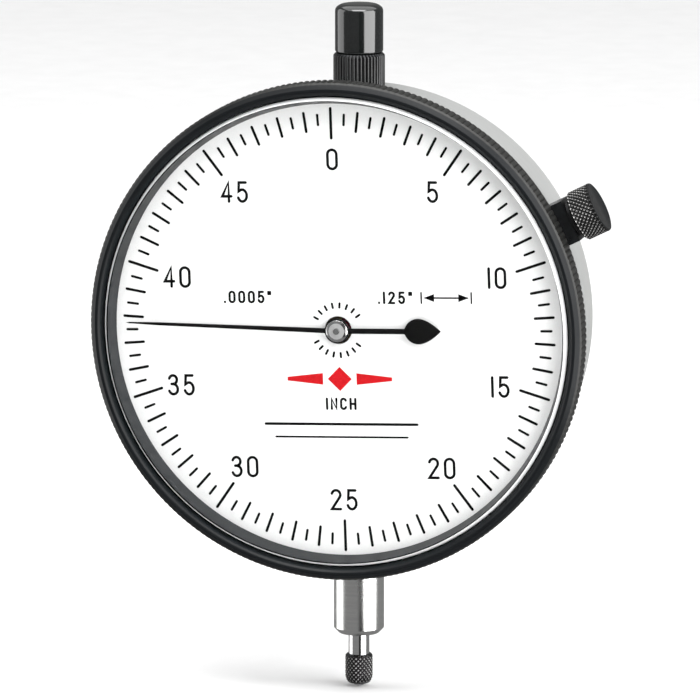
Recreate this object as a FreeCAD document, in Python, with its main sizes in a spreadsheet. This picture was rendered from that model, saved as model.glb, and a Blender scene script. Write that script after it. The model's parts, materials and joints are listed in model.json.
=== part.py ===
import FreeCAD, Part
import math
import os
import Sketcher

# Dial indicator, back-lug type, inch reading.  Units are millimetres.
# Origin: middle of the mounting stem on the spindle axis.
# +Z runs up the spindle, +X is to the right of the dial and the dial faces -Y.

os.makedirs("parts", exist_ok=True)
doc = FreeCAD.newDocument("dial_indicator")
V = FreeCAD.Vector

# ---------------------------------------------------------------- driving sizes
SIZES = {
    # spindle line, heights along Z
    "dial_z": 51.75,            # centre of the dial above the stem middle
    "stem_r": 4.7625,           # 3/8 inch mounting stem
    "stem_half": 8.25,
    "stem_chamfer": 1.0,
    "stem_bore": 3.2,
    "tenon_r": 4.0,
    "tenon_top": 16.0,
    "bush_r": 3.18,
    "bush_len": 5.5,
    "bush_high_z": 9.5,
    "spindle_r": 1.985,         # 5/32 inch spindle
    "run_gap": 0.025,
    "fit": 0.02,                # gap between parts that are fixed together
    "spindle_low": -13.35,
    "spindle_step": 54.0,
    "spindle_neck_r": 1.2,
    "spindle_top": 105.0,
    "thread_r": 1.1,
    "thread_len": 4.6,
    "contact_r": 2.66,
    "contact_len": 6.35,
    "contact_neck": 4.3,
    "tip_ball": 1.35,
    "collar_r": 4.83,
    "collar_low": 94.85,
    "collar_top": 101.55,
    "collar_tenon": 3.6,
    "cap_r": 4.515,
    "cap_top": 110.85,
    "cap_spigot": 3.3,
    # rack sleeve and springs on the spindle
    "sleeve_r": 2.5,
    "sleeve_bore": 1.23,
    "sleeve_top": 68.0,
    "rack_pitch_x": 2.0,
    "rack_module": 0.202127,    # 0.635 mm circular pitch
    "seat_low": 76.0,
    "seat_top": 78.5,
    "shock_coil_r": 1.85,
    "shock_wire": 0.2,
    # case, depths along Y
    "case_r": 43.3,
    "case_bore": 40.5,
    "case_front": -12.2,
    "case_back": 7.9,
    "rim_r": 44.87,
    "rim_front": -15.6,
    "rim_bore": 41.6,
    "web_r": 26.0,
    "web_front": -8.8,
    "web_back": -7.2,
    "boss_r": 2.9,
    "boss_ring": 38.0,
    "cover_back": 9.5,
    "cover_r": 42.9,
    "lug_width": 6.35,
    "lug_height": 12.7,
    "lug_hole_r": 3.2,
    "lug_hole_y": 19.0,
    # bezel group
    "bezel_r": 46.8,
    "ridge_r": 45.9,
    "ridge_y": -21.2,
    "lip_r": 44.3,
    "lip_y": -20,
    "knurl_front": -20.1,
    "knurl_back": -15.4,
    "skirt_r": 45.75,
    "skirt_bore": 44.95,
    "skirt_back": -11.6,
    "crystal_face_r": 43.5,
    "crystal_face": -21,
    "crystal_back": -19.2,
    "flange_r": 44.85,
    "flange_back": -18.6,
    "spacer_bore": 42.9,
    "dial_r": 44.6,
    "dial_face": -17.1,
    "dial_back": -16.5,
    "dial_hole_r": 2.6,
    "snap_bore": 43.2,
    "snap_back": -15.9,
    "wire_ring_r": 44.75,
    "wire_r": 0.28,
    "wire_y": -14.4,
    # screws: shank, hole and head radii
    "small_screw_r": 0.8,
    "small_hole_r": 0.85,
    "cover_screw_r": 1.2,
    "cover_hole_r": 1.3,
    "boss_hole_r": 1.25,
    "post_screw_r": 0.7,
    # movement
    "plate_r": 31.0,
    "plate_front": -10.0,
    "plate_screw_ring": 28.5,
    "lower_r": 22.0,
    "lower_front": -4.0,
    "lower_back": -2.8,
    "pillar_r": 1.6,
    "pillar_ring": 19.5,
    "gear_module": 0.25,
    "rack_pin_x": -3.2128,
    "rack_pin_up": 9.9963,
    "takeup_x": 7.3724,
    "takeup_down": 5.1622,
    "drive_front": -7.6,
    "drive_thick": 0.7,
    "centre_front": -8.0,
    "centre_back": -4.9,
    "takeup_front": -6.1,
    "takeup_thick": 0.7,
    "arbor_r": 0.55,
    "pivot_r": 0.28,
    "pivot_hole": 0.31,
    "jewel_r": 1.3,
    "cock_front": 3.0,
    "cock_back": 4.2,
    # hand
    "hand_y": -18.2,
    "hand_thick": 0.2,
    "hand_boss_r": 2.32,
    "hub_r": 2.05,
    "hub_spigot_r": 1.0,
    # guide and return spring
    "guide_z": 36.0,
    "pin_r": 0.6,
    "arm_z": 23.5,
    "spring_x": 8.5,
    "spring_foot": 14.0,
    "spring_coil": 1.5,
    "spring_wire": 0.2,
    # bezel clamp, on a radial line from the dial centre
    "clamp_angle": 26.7,
    "clamp_y": -12.6,
    "clamp_width": 8.1,
    "clamp_face": 48.7,
    "clamp_front": -15.15,
    "clamp_rear": -7.2,
    "clamp_bore": 1.9,
    "shoe_r": 0.9,
    "screw_tip": 47.2,
    "shoulder_r": 3.5,
    "knob_r": 4.85,
    "knob_low": 49.8,
    "knob_top": 54.3,
}

sheet = doc.addObject("Spreadsheet::Sheet", "Sizes")
for row, (alias, number) in enumerate(SIZES.items(), start=1):
    sheet.set("A%d" % row, alias.replace("_", " "))
    sheet.set("B%d" % row, str(number))
    sheet.setAlias("B%d" % row, alias)
doc.recompute()


def full(expr):
    """Write sheet names in an expression with the sheet in front."""
    words = []
    word = ""
    for letter in expr + " ":
        if letter.isalnum() or letter in "_.":
            word += letter
            continue
        if word:
            words.append("Sizes." + word if word in SIZES else word)
            word = ""
        words.append(letter)
    return "".join(words).strip()


def value(expr):
    """Number that an expression of sheet names gives."""
    answer = sheet.evalExpression(full(str(expr)))
    return float(getattr(answer, "Value", answer))


FIT = value("fit")

# ---------------------------------------------------------------- placing things
UP = FreeCAD.Rotation()
ALONG_Y = FreeCAD.Rotation(V(1, 0, 0), -90)
ALONG_X = FreeCAD.Rotation(V(0, 1, 0), 90)
RADIAL = FreeCAD.Rotation(V(0, 1, 0), 90 - value("clamp_angle"))


def place(obj, turn=UP, x="0", y="0", z="0"):
    obj.Placement = FreeCAD.Placement(V(value(x), value(y), value(z)), turn)
    for side, expr in (("x", x), ("y", y), ("z", z)):
        if expr != "0":
            obj.setExpression("Placement.Base." + side, full(expr))
    return obj


def origin_plane(body, role):
    for item in body.Origin.OriginFeatures:
        if item.Role == role:
            return item
    raise ValueError(role)


def new_body(label):
    body = doc.addObject("PartDesign::Body", label)
    body.Label = label
    return body


def new_sketch(body, role, name):
    sketch = body.newObject("Sketcher::SketchObject", name)
    sketch.AttachmentSupport = [(origin_plane(body, role), "")]
    sketch.MapMode = "FlatFace"
    return sketch


def pin_point(sketch, geo, end, x, y):
    """Hold one sketch point at (x, y), both given as expressions."""
    for kind, expr, axis in (("DistanceX", x, -2), ("DistanceY", y, -1)):
        number = value(expr)
        if abs(number) < 1e-9:
            sketch.addConstraint(Sketcher.Constraint("PointOnObject", geo, end, axis))
            continue
        index = sketch.addConstraint(Sketcher.Constraint(kind, geo, end, number))
        sketch.setExpression("Constraints[%d]" % index, full(expr))


def outline(sketch, points):
    """Closed outline through points given as pairs of expressions."""
    corners = [V(value(x), value(y), 0) for x, y in points]
    count = len(corners)
    first = sketch.GeometryCount
    for i in range(count):
        line = Part.LineSegment(corners[i], corners[(i + 1) % count])
        sketch.addGeometry(line, False)
    for i in range(count):
        after = first + (i + 1) % count
        sketch.addConstraint(Sketcher.Constraint("Coincident", first + i, 2, after, 1))
    for i, (x, y) in enumerate(points):
        pin_point(sketch, first + i, 1, x, y)


def circle(sketch, x, y, radius):
    shape = Part.Circle(V(value(x), value(y), 0), V(0, 0, 1), value(radius))
    geo = sketch.addGeometry(shape, False)
    pin_point(sketch, geo, 3, x, y)
    index = sketch.addConstraint(Sketcher.Constraint("Radius", geo, value(radius)))
    sketch.setExpression("Constraints[%d]" % index, full(radius))


def turned(label, profile, turn=UP, x="0", y="0", z="0"):
    """Body of revolution about its own Z axis; profile is (radius, height) pairs."""
    body = new_body(label)
    sketch = new_sketch(body, "XZ_Plane", label + "_profile")
    outline(sketch, profile)
    spin = body.newObject("PartDesign::Revolution", label + "_turned")
    spin.Profile = sketch
    spin.ReferenceAxis = (sketch, ["V_Axis"])
    spin.Angle = 360
    place(body, turn, x, y, z)
    doc.recompute()
    return body


def drill(body, name, circles):
    """Holes right through a body along its own Z; circles are (x, y, radius)."""
    sketch = new_sketch(body, "XY_Plane", name + "_centres")
    for x, y, radius in circles:
        circle(sketch, x, y, radius)
    before = body.Shape.Volume
    pocket = body.newObject("PartDesign::Pocket", name)
    pocket.Profile = sketch
    pocket.Type = "ThroughAll"
    pocket.Midplane = True
    doc.recompute()
    assert body.Shape.Volume < before - 1e-6, name
    return pocket


def on_ring(ring, degrees):
    """Point on a circle round the dial centre, in a body turned along Y."""
    x = "%s * %.9f" % (ring, math.cos(math.radians(degrees)))
    y = "%s * %.9f" % (ring, -math.sin(math.radians(degrees)))
    return x, y


def ring_edges(shape, radius, height):
    """Names of the circular edges with this radius at this height."""
    names = []
    for i, edge in enumerate(shape.Edges):
        curve = edge.Curve
        if not isinstance(curve, Part.Circle):
            continue
        if abs(curve.Radius - value(radius)) < 1e-4 and abs(curve.Center.z - value(height)) < 1e-4:
            names.append("Edge%d" % (i + 1))
    return names


def round_rings(body, name, size, rings, kind="PartDesign::Fillet"):
    """Fillet (or chamfer) circular edges given as (radius, height) pairs."""
    tip = body.Tip
    edges = []
    for radius, height in rings:
        edges.extend(ring_edges(tip.Shape, radius, height))
    assert len(edges) >= len(rings), name
    feature = body.newObject(kind, name)
    feature.Base = (tip, edges)
    if kind.endswith("Fillet"):
        feature.Radius = size
    else:
        feature.Size = size
    doc.recompute()
    return feature


def holder(label, shape):
    """Feature with a shape made by code."""
    feature = doc.addObject("Part::Feature", label)
    feature.Label = label
    feature.Shape = shape
    return feature


nodes = []


def keep(obj):
    nodes.append(obj)
    return obj


DIAL = {"turn": ALONG_Y, "z": "dial_z"}

# ---------------------------------------------------------------- stem and spindle
stem = turned("lower_stem", [
    ("stem_bore", "-stem_half - stem_chamfer"),
    ("stem_r - stem_chamfer", "-stem_half - stem_chamfer"),
    ("stem_r", "-stem_half"),
    ("stem_r", "stem_half"),
    ("tenon_r", "stem_half"),
    ("tenon_r", "tenon_top"),
    ("stem_bore", "tenon_top"),
])
round_rings(stem, "stem_shoulder", 0.3, [("stem_r - stem_chamfer", "-stem_half - stem_chamfer")])
keep(stem)


def bushing_shape(low):
    outer = Part.makeCylinder(value("bush_r"), value("bush_len"), V(0, 0, low))
    bore = Part.makeCylinder(value("spindle_r + run_gap"), value("bush_len"), V(0, 0, low))
    return outer.cut(bore)


keep(holder("stem_bushings", Part.makeCompound([
    bushing_shape(value("-stem_half - stem_chamfer + 0.2")),
    bushing_shape(value("bush_high_z")),
])))

spindle = turned("spindle", [
    ("0", "spindle_low + thread_len + 0.6"),
    ("thread_r + 0.03", "spindle_low + thread_len"),
    ("thread_r + 0.03", "spindle_low"),
    ("spindle_r", "spindle_low"),
    ("spindle_r", "spindle_step"),
    ("spindle_neck_r", "spindle_step"),
    ("spindle_neck_r", "spindle_top - 0.4"),
    ("spindle_neck_r - 0.4", "spindle_top"),
    ("0", "spindle_top"),
])
pin_circle = new_sketch(spindle, "YZ_Plane", "guide_pin_circle")
circle(pin_circle, "0", "guide_z", "pin_r + fit")
pin_hole = spindle.newObject("PartDesign::Pocket", "guide_pin_hole")
pin_hole.Profile = pin_circle
pin_hole.Type = "ThroughAll"
pin_hole.Midplane = True
doc.recompute()
keep(spindle)

keep(turned("contact_point", [
    ("0", "-contact_neck - 0.48"),
    ("tip_ball + 0.14", "-contact_neck - 0.48"),
    ("tip_ball + 0.14", "-contact_len + 0.65"),
    ("contact_r - 0.91", "-contact_len + 0.65"),
    ("contact_r - 0.3", "-contact_neck - 0.8"),
    ("contact_r", "-contact_neck + 0.25"),
    ("contact_r", "-0.3"),
    ("contact_r - 0.3", "-0.02"),
    ("thread_r", "-0.02"),
    ("thread_r", "thread_len - 0.4"),
    ("thread_r - 0.3", "thread_len - 0.1"),
    ("0", "thread_len - 0.1"),
], z="spindle_low"))

tip_ball = doc.addObject("Part::Sphere", "tip_sphere")
tip_ball.setExpression("Radius", full("tip_ball + 0.12"))
place(tip_ball, z="spindle_low - contact_len + tip_ball + 0.12")
tip_trim = doc.addObject("Part::Box", "tip_trim")
tip_trim.Length = 8
tip_trim.Width = 8
tip_trim.Height = 6
place(tip_trim, x="-4", y="-4", z="spindle_low - contact_neck - 0.55 + 0.05")
tip = doc.addObject("Part::Cut", "contact_tip")
tip.Base = tip_ball
tip.Tool = tip_trim
keep(tip)

# ---------------------------------------------------------------- top of the spindle line
keep(turned("upper_collar", [
    ("stem_bore - 0.6", "collar_low - 6"),
    ("collar_tenon", "collar_low - 6"),
    ("collar_tenon", "collar_low"),
    ("collar_r", "collar_low"),
    ("collar_r", "collar_top - 0.5"),
    ("collar_r - 0.35", "collar_top"),
    ("cap_spigot", "collar_top"),
    ("cap_spigot", "collar_top + 3"),
    ("stem_bore - 0.6", "collar_top + 3"),
]))

keep(turned("upper_bushing", [
    ("spindle_neck_r + run_gap", "collar_low - 5"),
    ("stem_bore - 0.62", "collar_low - 5"),
    ("stem_bore - 0.62", "collar_low + 4"),
    ("spindle_neck_r + run_gap", "collar_low + 4"),
]))

cap = turned("dust_cap", [
    ("cap_spigot + fit", "collar_top + fit"),
    ("cap_r - 0.2", "collar_top + fit"),
    ("cap_r", "collar_top + 0.3"),
    ("cap_r", "cap_top - 0.3"),
    ("0", "cap_top"),
    ("0", "cap_top - 1.4"),
    ("cap_spigot - 0.5", "cap_top - 1.6"),
    ("cap_spigot - 0.5", "collar_top + 3.3"),
    ("cap_spigot + fit", "collar_top + 3.3"),
])
round_rings(cap, "cap_edge", 1.2, [("cap_r", "cap_top - 0.3")])
keep(cap)

# ---------------------------------------------------------------- case
COVER_ANGLES = (45, 135, 225, 315)
case = turned("case_body", [
    ("case_bore", "case_back"),
    ("case_r - 0.4", "case_back"),
    ("case_r", "case_back - 0.4"),
    ("case_r", "case_front"),
    ("rim_r", "case_front"),
    ("rim_r", "wire_y + 0.42"),
    ("rim_r - 0.95", "wire_y + 0.42"),
    ("rim_r - 0.95", "wire_y - 0.42"),
    ("rim_r", "wire_y - 0.42"),
    ("rim_r", "rim_front + 0.2"),
    ("rim_r - 0.2", "rim_front"),
    ("rim_bore", "rim_front"),
    ("rim_bore", "web_front"),
    ("web_r", "web_front"),
    ("web_r", "web_back"),
    ("case_bore", "web_back"),
], **DIAL)

boss_sketch = new_sketch(case, "XY_Plane", "boss_circles")
for angle in COVER_ANGLES:
    bx, by = on_ring("boss_ring", angle)
    circle(boss_sketch, bx, by, "boss_r")
bosses = case.newObject("PartDesign::Pad", "cover_bosses")
bosses.Profile = boss_sketch
bosses.Type = "Length"
bosses.setExpression("Length", full("case_back"))
doc.recompute()
bosses_low = case.newObject("PartDesign::Pad", "cover_boss_feet")
bosses_low.Profile = boss_sketch
bosses_low.Reversed = True
bosses_low.setExpression("Length", full("-web_back + 0.4"))
doc.recompute()


def cross_cylinder(name, kind, radius, near, far):
    """Add or remove a cylinder on the spindle axis; near and far are heights."""
    sketch = case.newObject("Sketcher::SketchObject", name + "_circle")
    sketch.AttachmentSupport = [(origin_plane(case, "XZ_Plane"), "")]
    sketch.MapMode = "FlatFace"
    sketch.setExpression("AttachmentOffset.Base.z", full("(%s) - dial_z" % near))
    circle(sketch, "0", "0", radius)
    doc.recompute()
    feature = case.newObject(kind, name)
    feature.Profile = sketch
    feature.Type = "Length"
    feature.setExpression("Length", full("(%s) - (%s)" % (far, near)))
    feature.Reversed = kind.endswith("Pocket")
    doc.recompute()
    return feature


cross_cylinder("stem_seat", "PartDesign::Pad", "tenon_r + 2.2", "stem_half + fit", "stem_half + 5.5")
cross_cylinder("collar_seat", "PartDesign::Pad", "collar_tenon + 2.2", "collar_low - 5", "collar_low - fit")
cross_cylinder("stem_bore_cut", "PartDesign::Pocket", "tenon_r + fit", "stem_half - 1", "stem_half + 6")
cross_cylinder("collar_bore_cut", "PartDesign::Pocket", "collar_tenon + fit", "collar_low - 7",
               "collar_low + 1")
cross_cylinder("collar_flat", "PartDesign::Pocket", "collar_r + 0.3", "collar_low - fit", "collar_low + 2")

wire = doc.addObject("Part::Torus", "bezel_wire")
wire.Label = "bezel_spring_wire"
wire.setExpression("Radius1", full("wire_ring_r"))
wire.setExpression("Radius2", full("wire_r"))
wire.Angle3 = 348
place(wire, ALONG_Y, "0", "wire_y", "dial_z")
keep(wire)
doc.recompute()

cover = turned("back_cover", [
    ("0", "case_back + fit"),
    ("cover_r - 0.3", "case_back + fit"),
    ("cover_r", "case_back + 0.3"),
    ("cover_r", "cover_back - 0.5"),
    ("cover_r - 0.5", "cover_back"),
    ("0", "cover_back"),
], **DIAL)

lug = new_body("back_lug")
place(lug, ALONG_Y, z="dial_z")
lug_sketch = new_sketch(lug, "YZ_Plane", "lug_outline")
outline(lug_sketch, [
    ("0 - lug_height / 2", "cover_back + fit"),
    ("lug_height / 2", "cover_back + fit"),
    ("lug_height / 2", "lug_hole_y + lug_height / 2"),
    ("0 - lug_height / 2", "lug_hole_y + lug_height / 2"),
])
lug_pad = lug.newObject("PartDesign::Pad", "lug_pad")
lug_pad.Profile = lug_sketch
lug_pad.Midplane = True
lug_pad.setExpression("Length", full("lug_width"))
doc.recompute()
far_edges = []
for i, edge in enumerate(lug_pad.Shape.Edges):
    middle = edge.CenterOfMass
    if abs(middle.x) < 1e-6 and middle.z > value("lug_hole_y + lug_height / 2") - 1e-6:
        far_edges.append("Edge%d" % (i + 1))
lug_round = lug.newObject("PartDesign::Fillet", "lug_round")
lug_round.Base = (lug_pad, far_edges)
lug_round.setExpression("Radius", full("lug_height / 2 - 0.05"))
doc.recompute()
lug_hole_sketch = new_sketch(lug, "YZ_Plane", "lug_hole_circle")
circle(lug_hole_sketch, "0", "lug_hole_y", "lug_hole_r")
lug_hole = lug.newObject("PartDesign::Pocket", "lug_hole")
lug_hole.Profile = lug_hole_sketch
lug_hole.Type = "ThroughAll"
lug_hole.Midplane = True
doc.recompute()
LUG_SCREWS = (("0", "lug_height / 4 + 1"), ("0", "0 - lug_height / 4 - 1"))
lug_taps = new_sketch(lug, "XY_Plane", "lug_tap_circles")
for x, y in LUG_SCREWS:
    circle(lug_taps, x, y, "small_hole_r")
lug_tap = lug.newObject("PartDesign::Pocket", "lug_taps")
lug_tap.Profile = lug_taps
lug_tap.Type = "Length"
lug_tap.Reversed = True
lug_tap.setExpression("Length", full("cover_back + 3.6"))
doc.recompute()
keep(lug)

drill(cover, "cover_screw_holes", [on_ring("boss_ring", a) + ("cover_hole_r",) for a in COVER_ANGLES])
drill(cover, "lug_screw_holes", [spot + ("small_hole_r",) for spot in LUG_SCREWS])
keep(cover)


SLOT_SHARE = 0.32
SLOT_REACH = 1.2
SLOT_TURN = 35


def screw_shape(shank, length, head, head_height):
    """Slotted cheese-head screw pointing down -Z with its head above zero."""
    body = Part.makeCylinder(shank, length, V(0, 0, -length))
    top = Part.makeCylinder(head, head_height)
    slot_wide = head * SLOT_SHARE
    corner = V(-head * SLOT_REACH, -slot_wide / 2, head_height / 2)
    slot = Part.makeBox(2 * head * SLOT_REACH, slot_wide, head_height, corner)
    return body.fuse(top).removeSplitter().cut(slot)


def screw_set(label, places, shank, length, head, head_height, turn):
    """Identical screws at (x, y, z) places, all pointing the same way."""
    solids = []
    for i, spot in enumerate(places):
        solid = screw_shape(value(shank), length, head, head_height)
        solid.rotate(V(0, 0, 0), V(0, 0, 1), SLOT_TURN * i)
        solid.Placement = FreeCAD.Placement(V(*spot), turn).multiply(solid.Placement)
        solids.append(solid)
    return keep(holder(label, Part.makeCompound(solids)))


def ring_spot(ring, degrees, y):
    """World point on a circle round the dial centre."""
    angle = math.radians(degrees)
    return (value(ring) * math.cos(angle), y, value("dial_z") + value(ring) * math.sin(angle))


TO_FRONT = FreeCAD.Rotation(V(1, 0, 0), 90)

screw_set("lug_screws", [(0, value("case_back"), value("dial_z") + s * value("lug_height / 4 + 1"))
                         for s in (-1, 1)], "small_screw_r", 4.6, 1.4, 0.7, TO_FRONT)
screw_set("back_cover_screws", [ring_spot("boss_ring", a, value("cover_back + fit")) for a in COVER_ANGLES],
          "cover_screw_r", 7.0, 2.1, 1.0, ALONG_Y)
boss_holes = new_sketch(case, "XY_Plane", "boss_hole_circles")
for angle in COVER_ANGLES:
    bx, by = on_ring("boss_ring", angle)
    circle(boss_holes, bx, by, "boss_hole_r")
boss_pocket = case.newObject("PartDesign::Pocket", "boss_holes")
boss_pocket.Profile = boss_holes
boss_pocket.Type = "Length"
boss_pocket.Reversed = True
boss_pocket.setExpression("Length", full("case_back + 1"))
doc.recompute()

# ---------------------------------------------------------------- bezel group
bezel = turned("bezel_ring", [
    ("lip_r", "lip_y"),
    ("lip_r + 0.5", "lip_y - 0.75"),
    ("ridge_r - 0.45", "ridge_y"),
    ("ridge_r", "ridge_y + 0.1"),
    ("bezel_r - 0.35", "knurl_front - 0.15"),
    ("bezel_r", "knurl_front + 0.15"),
    ("bezel_r", "knurl_back - 0.2"),
    ("bezel_r - 0.25", "knurl_back"),
    ("skirt_r", "knurl_back"),
    ("skirt_r", "skirt_back - 0.2"),
    ("skirt_r - 0.2", "skirt_back"),
    ("skirt_bore + 0.1", "skirt_back"),
    ("skirt_bore", "skirt_back - 0.2"),
    ("skirt_bore", "wire_y + 0.5"),
    ("skirt_bore + 0.3", "wire_y + 0.3"),
    ("skirt_bore + 0.3", "wire_y - 0.3"),
    ("skirt_bore", "wire_y - 0.5"),
    ("skirt_bore", "flange_back - 0.62"),
    ("lip_r", "flange_back - 0.62"),
], **DIAL)
keep(bezel)

keep(turned("crystal", [
    ("0", "crystal_back"),
    ("0", "crystal_face"),
    ("crystal_face_r", "crystal_face"),
    ("lip_r - 0.05", "lip_y - fit"),
    ("lip_r - 0.05", "crystal_back + 0.01"),
    ("flange_r", "crystal_back + 0.01"),
    ("flange_r", "flange_back"),
    ("spacer_bore + 0.8", "flange_back"),
    ("spacer_bore + 0.3", "crystal_back"),
], **DIAL))

keep(turned("crystal_spacer", [
    ("spacer_bore", "flange_back + fit"),
    ("flange_r", "flange_back + fit"),
    ("flange_r", "dial_face - fit"),
    ("spacer_bore", "dial_face - fit"),
], **DIAL))

keep(turned("dial_face", [
    ("dial_hole_r", "dial_face"),
    ("dial_r", "dial_face"),
    ("dial_r", "dial_back"),
    ("dial_hole_r", "dial_back"),
], **DIAL))

snap = doc.addObject("Part::Cut", "dial_snap_ring")
snap_outer = doc.addObject("Part::Cylinder", "snap_outer")
snap_outer.setExpression("Radius", full("dial_r + 0.2"))
snap_outer.setExpression("Height", full("snap_back - dial_back - 0.04"))
snap_outer.Angle = 352
place(snap_outer, ALONG_Y, "0", "dial_back + fit", "dial_z")
snap_inner = doc.addObject("Part::Cylinder", "snap_inner")
snap_inner.setExpression("Radius", full("snap_bore"))
snap_inner.Height = 4
place(snap_inner, ALONG_Y, "0", "dial_back - 1", "dial_z")
snap.Base = snap_outer
snap.Tool = snap_inner
keep(snap)

# ---------------------------------------------------------------- movement frame
PLATE_ANGLES = (20, 110, 200, 290)
PILLAR_ANGLES = (20, 165, 235, 310)
plate = turned("front_plate", [
    ("0", "plate_front"),
    ("plate_r", "plate_front"),
    ("plate_r", "web_front - fit"),
    ("0", "web_front - fit"),
], **DIAL)
RACK_PIN = ("rack_pin_x", "0 - rack_pin_up")
TAKEUP = ("takeup_x", "takeup_down")
CENTRE = ("0", "0")
drill(plate, "front_jewel_seats", [spot + ("jewel_r + fit",) for spot in (RACK_PIN, TAKEUP, CENTRE)])
drill(plate, "plate_screw_holes", [on_ring("plate_screw_ring", a) + ("small_hole_r",) for a in PLATE_ANGLES])
drill(plate, "pillar_spigot_holes", [on_ring("pillar_ring", a) + ("small_hole_r",) for a in PILLAR_ANGLES])
drill(case, "web_screw_holes", [on_ring("plate_screw_ring", a) + ("small_hole_r",) for a in PLATE_ANGLES])
keep(plate)
screw_set("front_plate_screws", [ring_spot("plate_screw_ring", a, value("plate_front - fit"))
                                 for a in PLATE_ANGLES], "small_screw_r", 2.6, 1.5, 0.8, TO_FRONT)

lower = turned("lower_plate", [
    ("0", "lower_front"),
    ("lower_r", "lower_front"),
    ("lower_r", "lower_back"),
    ("0", "lower_back"),
], **DIAL)
drill(lower, "lower_jewel_seats", [spot + ("jewel_r + fit",) for spot in (TAKEUP, CENTRE)])
drill(lower, "rack_arbor_clearance", [RACK_PIN + ("1.6",)])
drill(lower, "pillar_screw_holes", [on_ring("pillar_ring", a) + ("small_hole_r",) for a in PILLAR_ANGLES])
keep(lower)


SPIGOT_LENGTH = 1.1
TAP_DEPTH = 3.0


def pillar_shape(spot):
    length = value("lower_front - web_front - fit")
    post = Part.makeCylinder(value("pillar_r"), length)
    spigot = Part.makeCylinder(value("small_screw_r"), SPIGOT_LENGTH, V(0, 0, -SPIGOT_LENGTH))
    tapped = Part.makeCylinder(value("post_screw_r") + 0.05, TAP_DEPTH, V(0, 0, length - TAP_DEPTH))
    shape = post.fuse(spigot).removeSplitter().cut(tapped)
    shape.Placement = FreeCAD.Placement(V(*spot), ALONG_Y)
    return shape


keep(holder("plate_pillars", Part.makeCompound([
    pillar_shape(ring_spot("pillar_ring", a, value("web_front"))) for a in PILLAR_ANGLES
])))
screw_set("pillar_screws", [ring_spot("pillar_ring", a, value("lower_back + fit"))
                            for a in PILLAR_ANGLES], "post_screw_r", 2.8, 1.3, 0.7, ALONG_Y)

COCK_EDGE = value("rack_pin_x") - 10.1
COCK_LENGTH = 12.3
COCK_WIDTH = 5.0
COCK_FOOT = 4.4
COCK_Z = value("dial_z + rack_pin_up")
COCK_SCREW_X = COCK_EDGE + COCK_FOOT / 2
cock_bar = Part.makeBox(COCK_LENGTH, value("cock_back - cock_front"), COCK_WIDTH,
                        V(COCK_EDGE, value("cock_front"), COCK_Z - COCK_WIDTH / 2))
cock_post = Part.makeBox(COCK_FOOT, value("cock_back - lower_back - fit"), COCK_WIDTH,
                         V(COCK_EDGE, value("lower_back + fit"), COCK_Z - COCK_WIDTH / 2))
cock_seat = Part.makeCylinder(value("jewel_r + fit"), 3,
                              V(value("rack_pin_x"), value("cock_front - 1"), COCK_Z), V(0, 1, 0))
cock_tap = Part.makeCylinder(value("small_screw_r"), 8,
                             V(COCK_SCREW_X, value("lower_back"), COCK_Z), V(0, 1, 0))
keep(holder("rear_cock", cock_bar.fuse(cock_post).removeSplitter().cut(cock_seat).cut(cock_tap)))
screw_set("rear_cock_screw", [(COCK_SCREW_X, value("cock_back + fit"), COCK_Z)],
          "post_screw_r", 5.5, 1.3, 0.7, ALONG_Y)


JEWEL_THICK = 1.0


def jewel_set(label, spots, y, hole):
    """Bearing jewels: flat rings round their pivots."""
    solids = []
    for x, z in spots:
        ring = Part.makeCylinder(value("jewel_r"), JEWEL_THICK, V(x, y, z), V(0, 1, 0))
        bore = Part.makeCylinder(hole, JEWEL_THICK, V(x, y, z), V(0, 1, 0))
        solids.append(ring.cut(bore))
    return keep(holder(label, Part.makeCompound(solids)))


RACK_XZ = (value("rack_pin_x"), COCK_Z)
TAKEUP_XZ = (value("takeup_x"), value("dial_z - takeup_down"))
CENTRE_XZ = (0.0, value("dial_z"))
jewel_set("front_jewels", [RACK_XZ, TAKEUP_XZ], value("plate_front") + 0.1, value("pivot_hole"))
jewel_set("centre_jewel", [CENTRE_XZ], value("plate_front") + 0.1, value("arbor_r + 0.03"))
jewel_set("lower_jewels", [TAKEUP_XZ, CENTRE_XZ], value("lower_front") + 0.1, value("pivot_hole"))
jewel_set("rear_jewel", [RACK_XZ], value("cock_front") + 0.1, value("pivot_hole"))


# ---------------------------------------------------------------- gears
def involute_point(base, radius, offset):
    """Polar point of an involute flank; offset is its half angle at the base circle."""
    if radius <= base:
        return radius, offset
    tan = math.sqrt((radius / base) ** 2 - 1)
    return radius, offset - (tan - math.atan(tan))


PRESSURE = math.radians(20)


def gear_face(module, teeth, addendum, dedendum, backlash, phase):
    """Flat gear outline round the origin in XZ, first tooth centred at phase degrees."""
    pitch = module * teeth / 2
    base = pitch * math.cos(PRESSURE)
    root = pitch - dedendum * module
    tip = pitch + addendum * module
    half = (math.pi * module / 2 - backlash) / (2 * pitch)
    involute = math.tan(PRESSURE) - PRESSURE
    start = half + involute
    steps = [base + (tip - base) * k / 4.0 for k in range(5)]
    radii = [root] + [step for step in steps if step > root]
    flank = [involute_point(base, radius, start) for radius in radii]
    points = []
    for tooth in range(teeth):
        centre = math.radians(phase) + 2 * math.pi * tooth / teeth
        for radius, angle in flank:
            points.append((radius, centre - angle))
        for radius, angle in reversed(flank):
            points.append((radius, centre + angle))
    corners = [V(r * math.cos(a), 0, r * math.sin(a)) for r, a in points]
    corners.append(corners[0])
    return Part.Face(Part.makePolygon(corners))


def gear_solid(spot, y, thick, face):
    solid = face.extrude(V(0, thick, 0))
    solid.translate(V(spot[0], y, spot[1]))
    return solid


def rod(spot, radius, low, high):
    return Part.makeCylinder(radius, high - low, V(spot[0], low, spot[1]), V(0, 1, 0))


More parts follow.
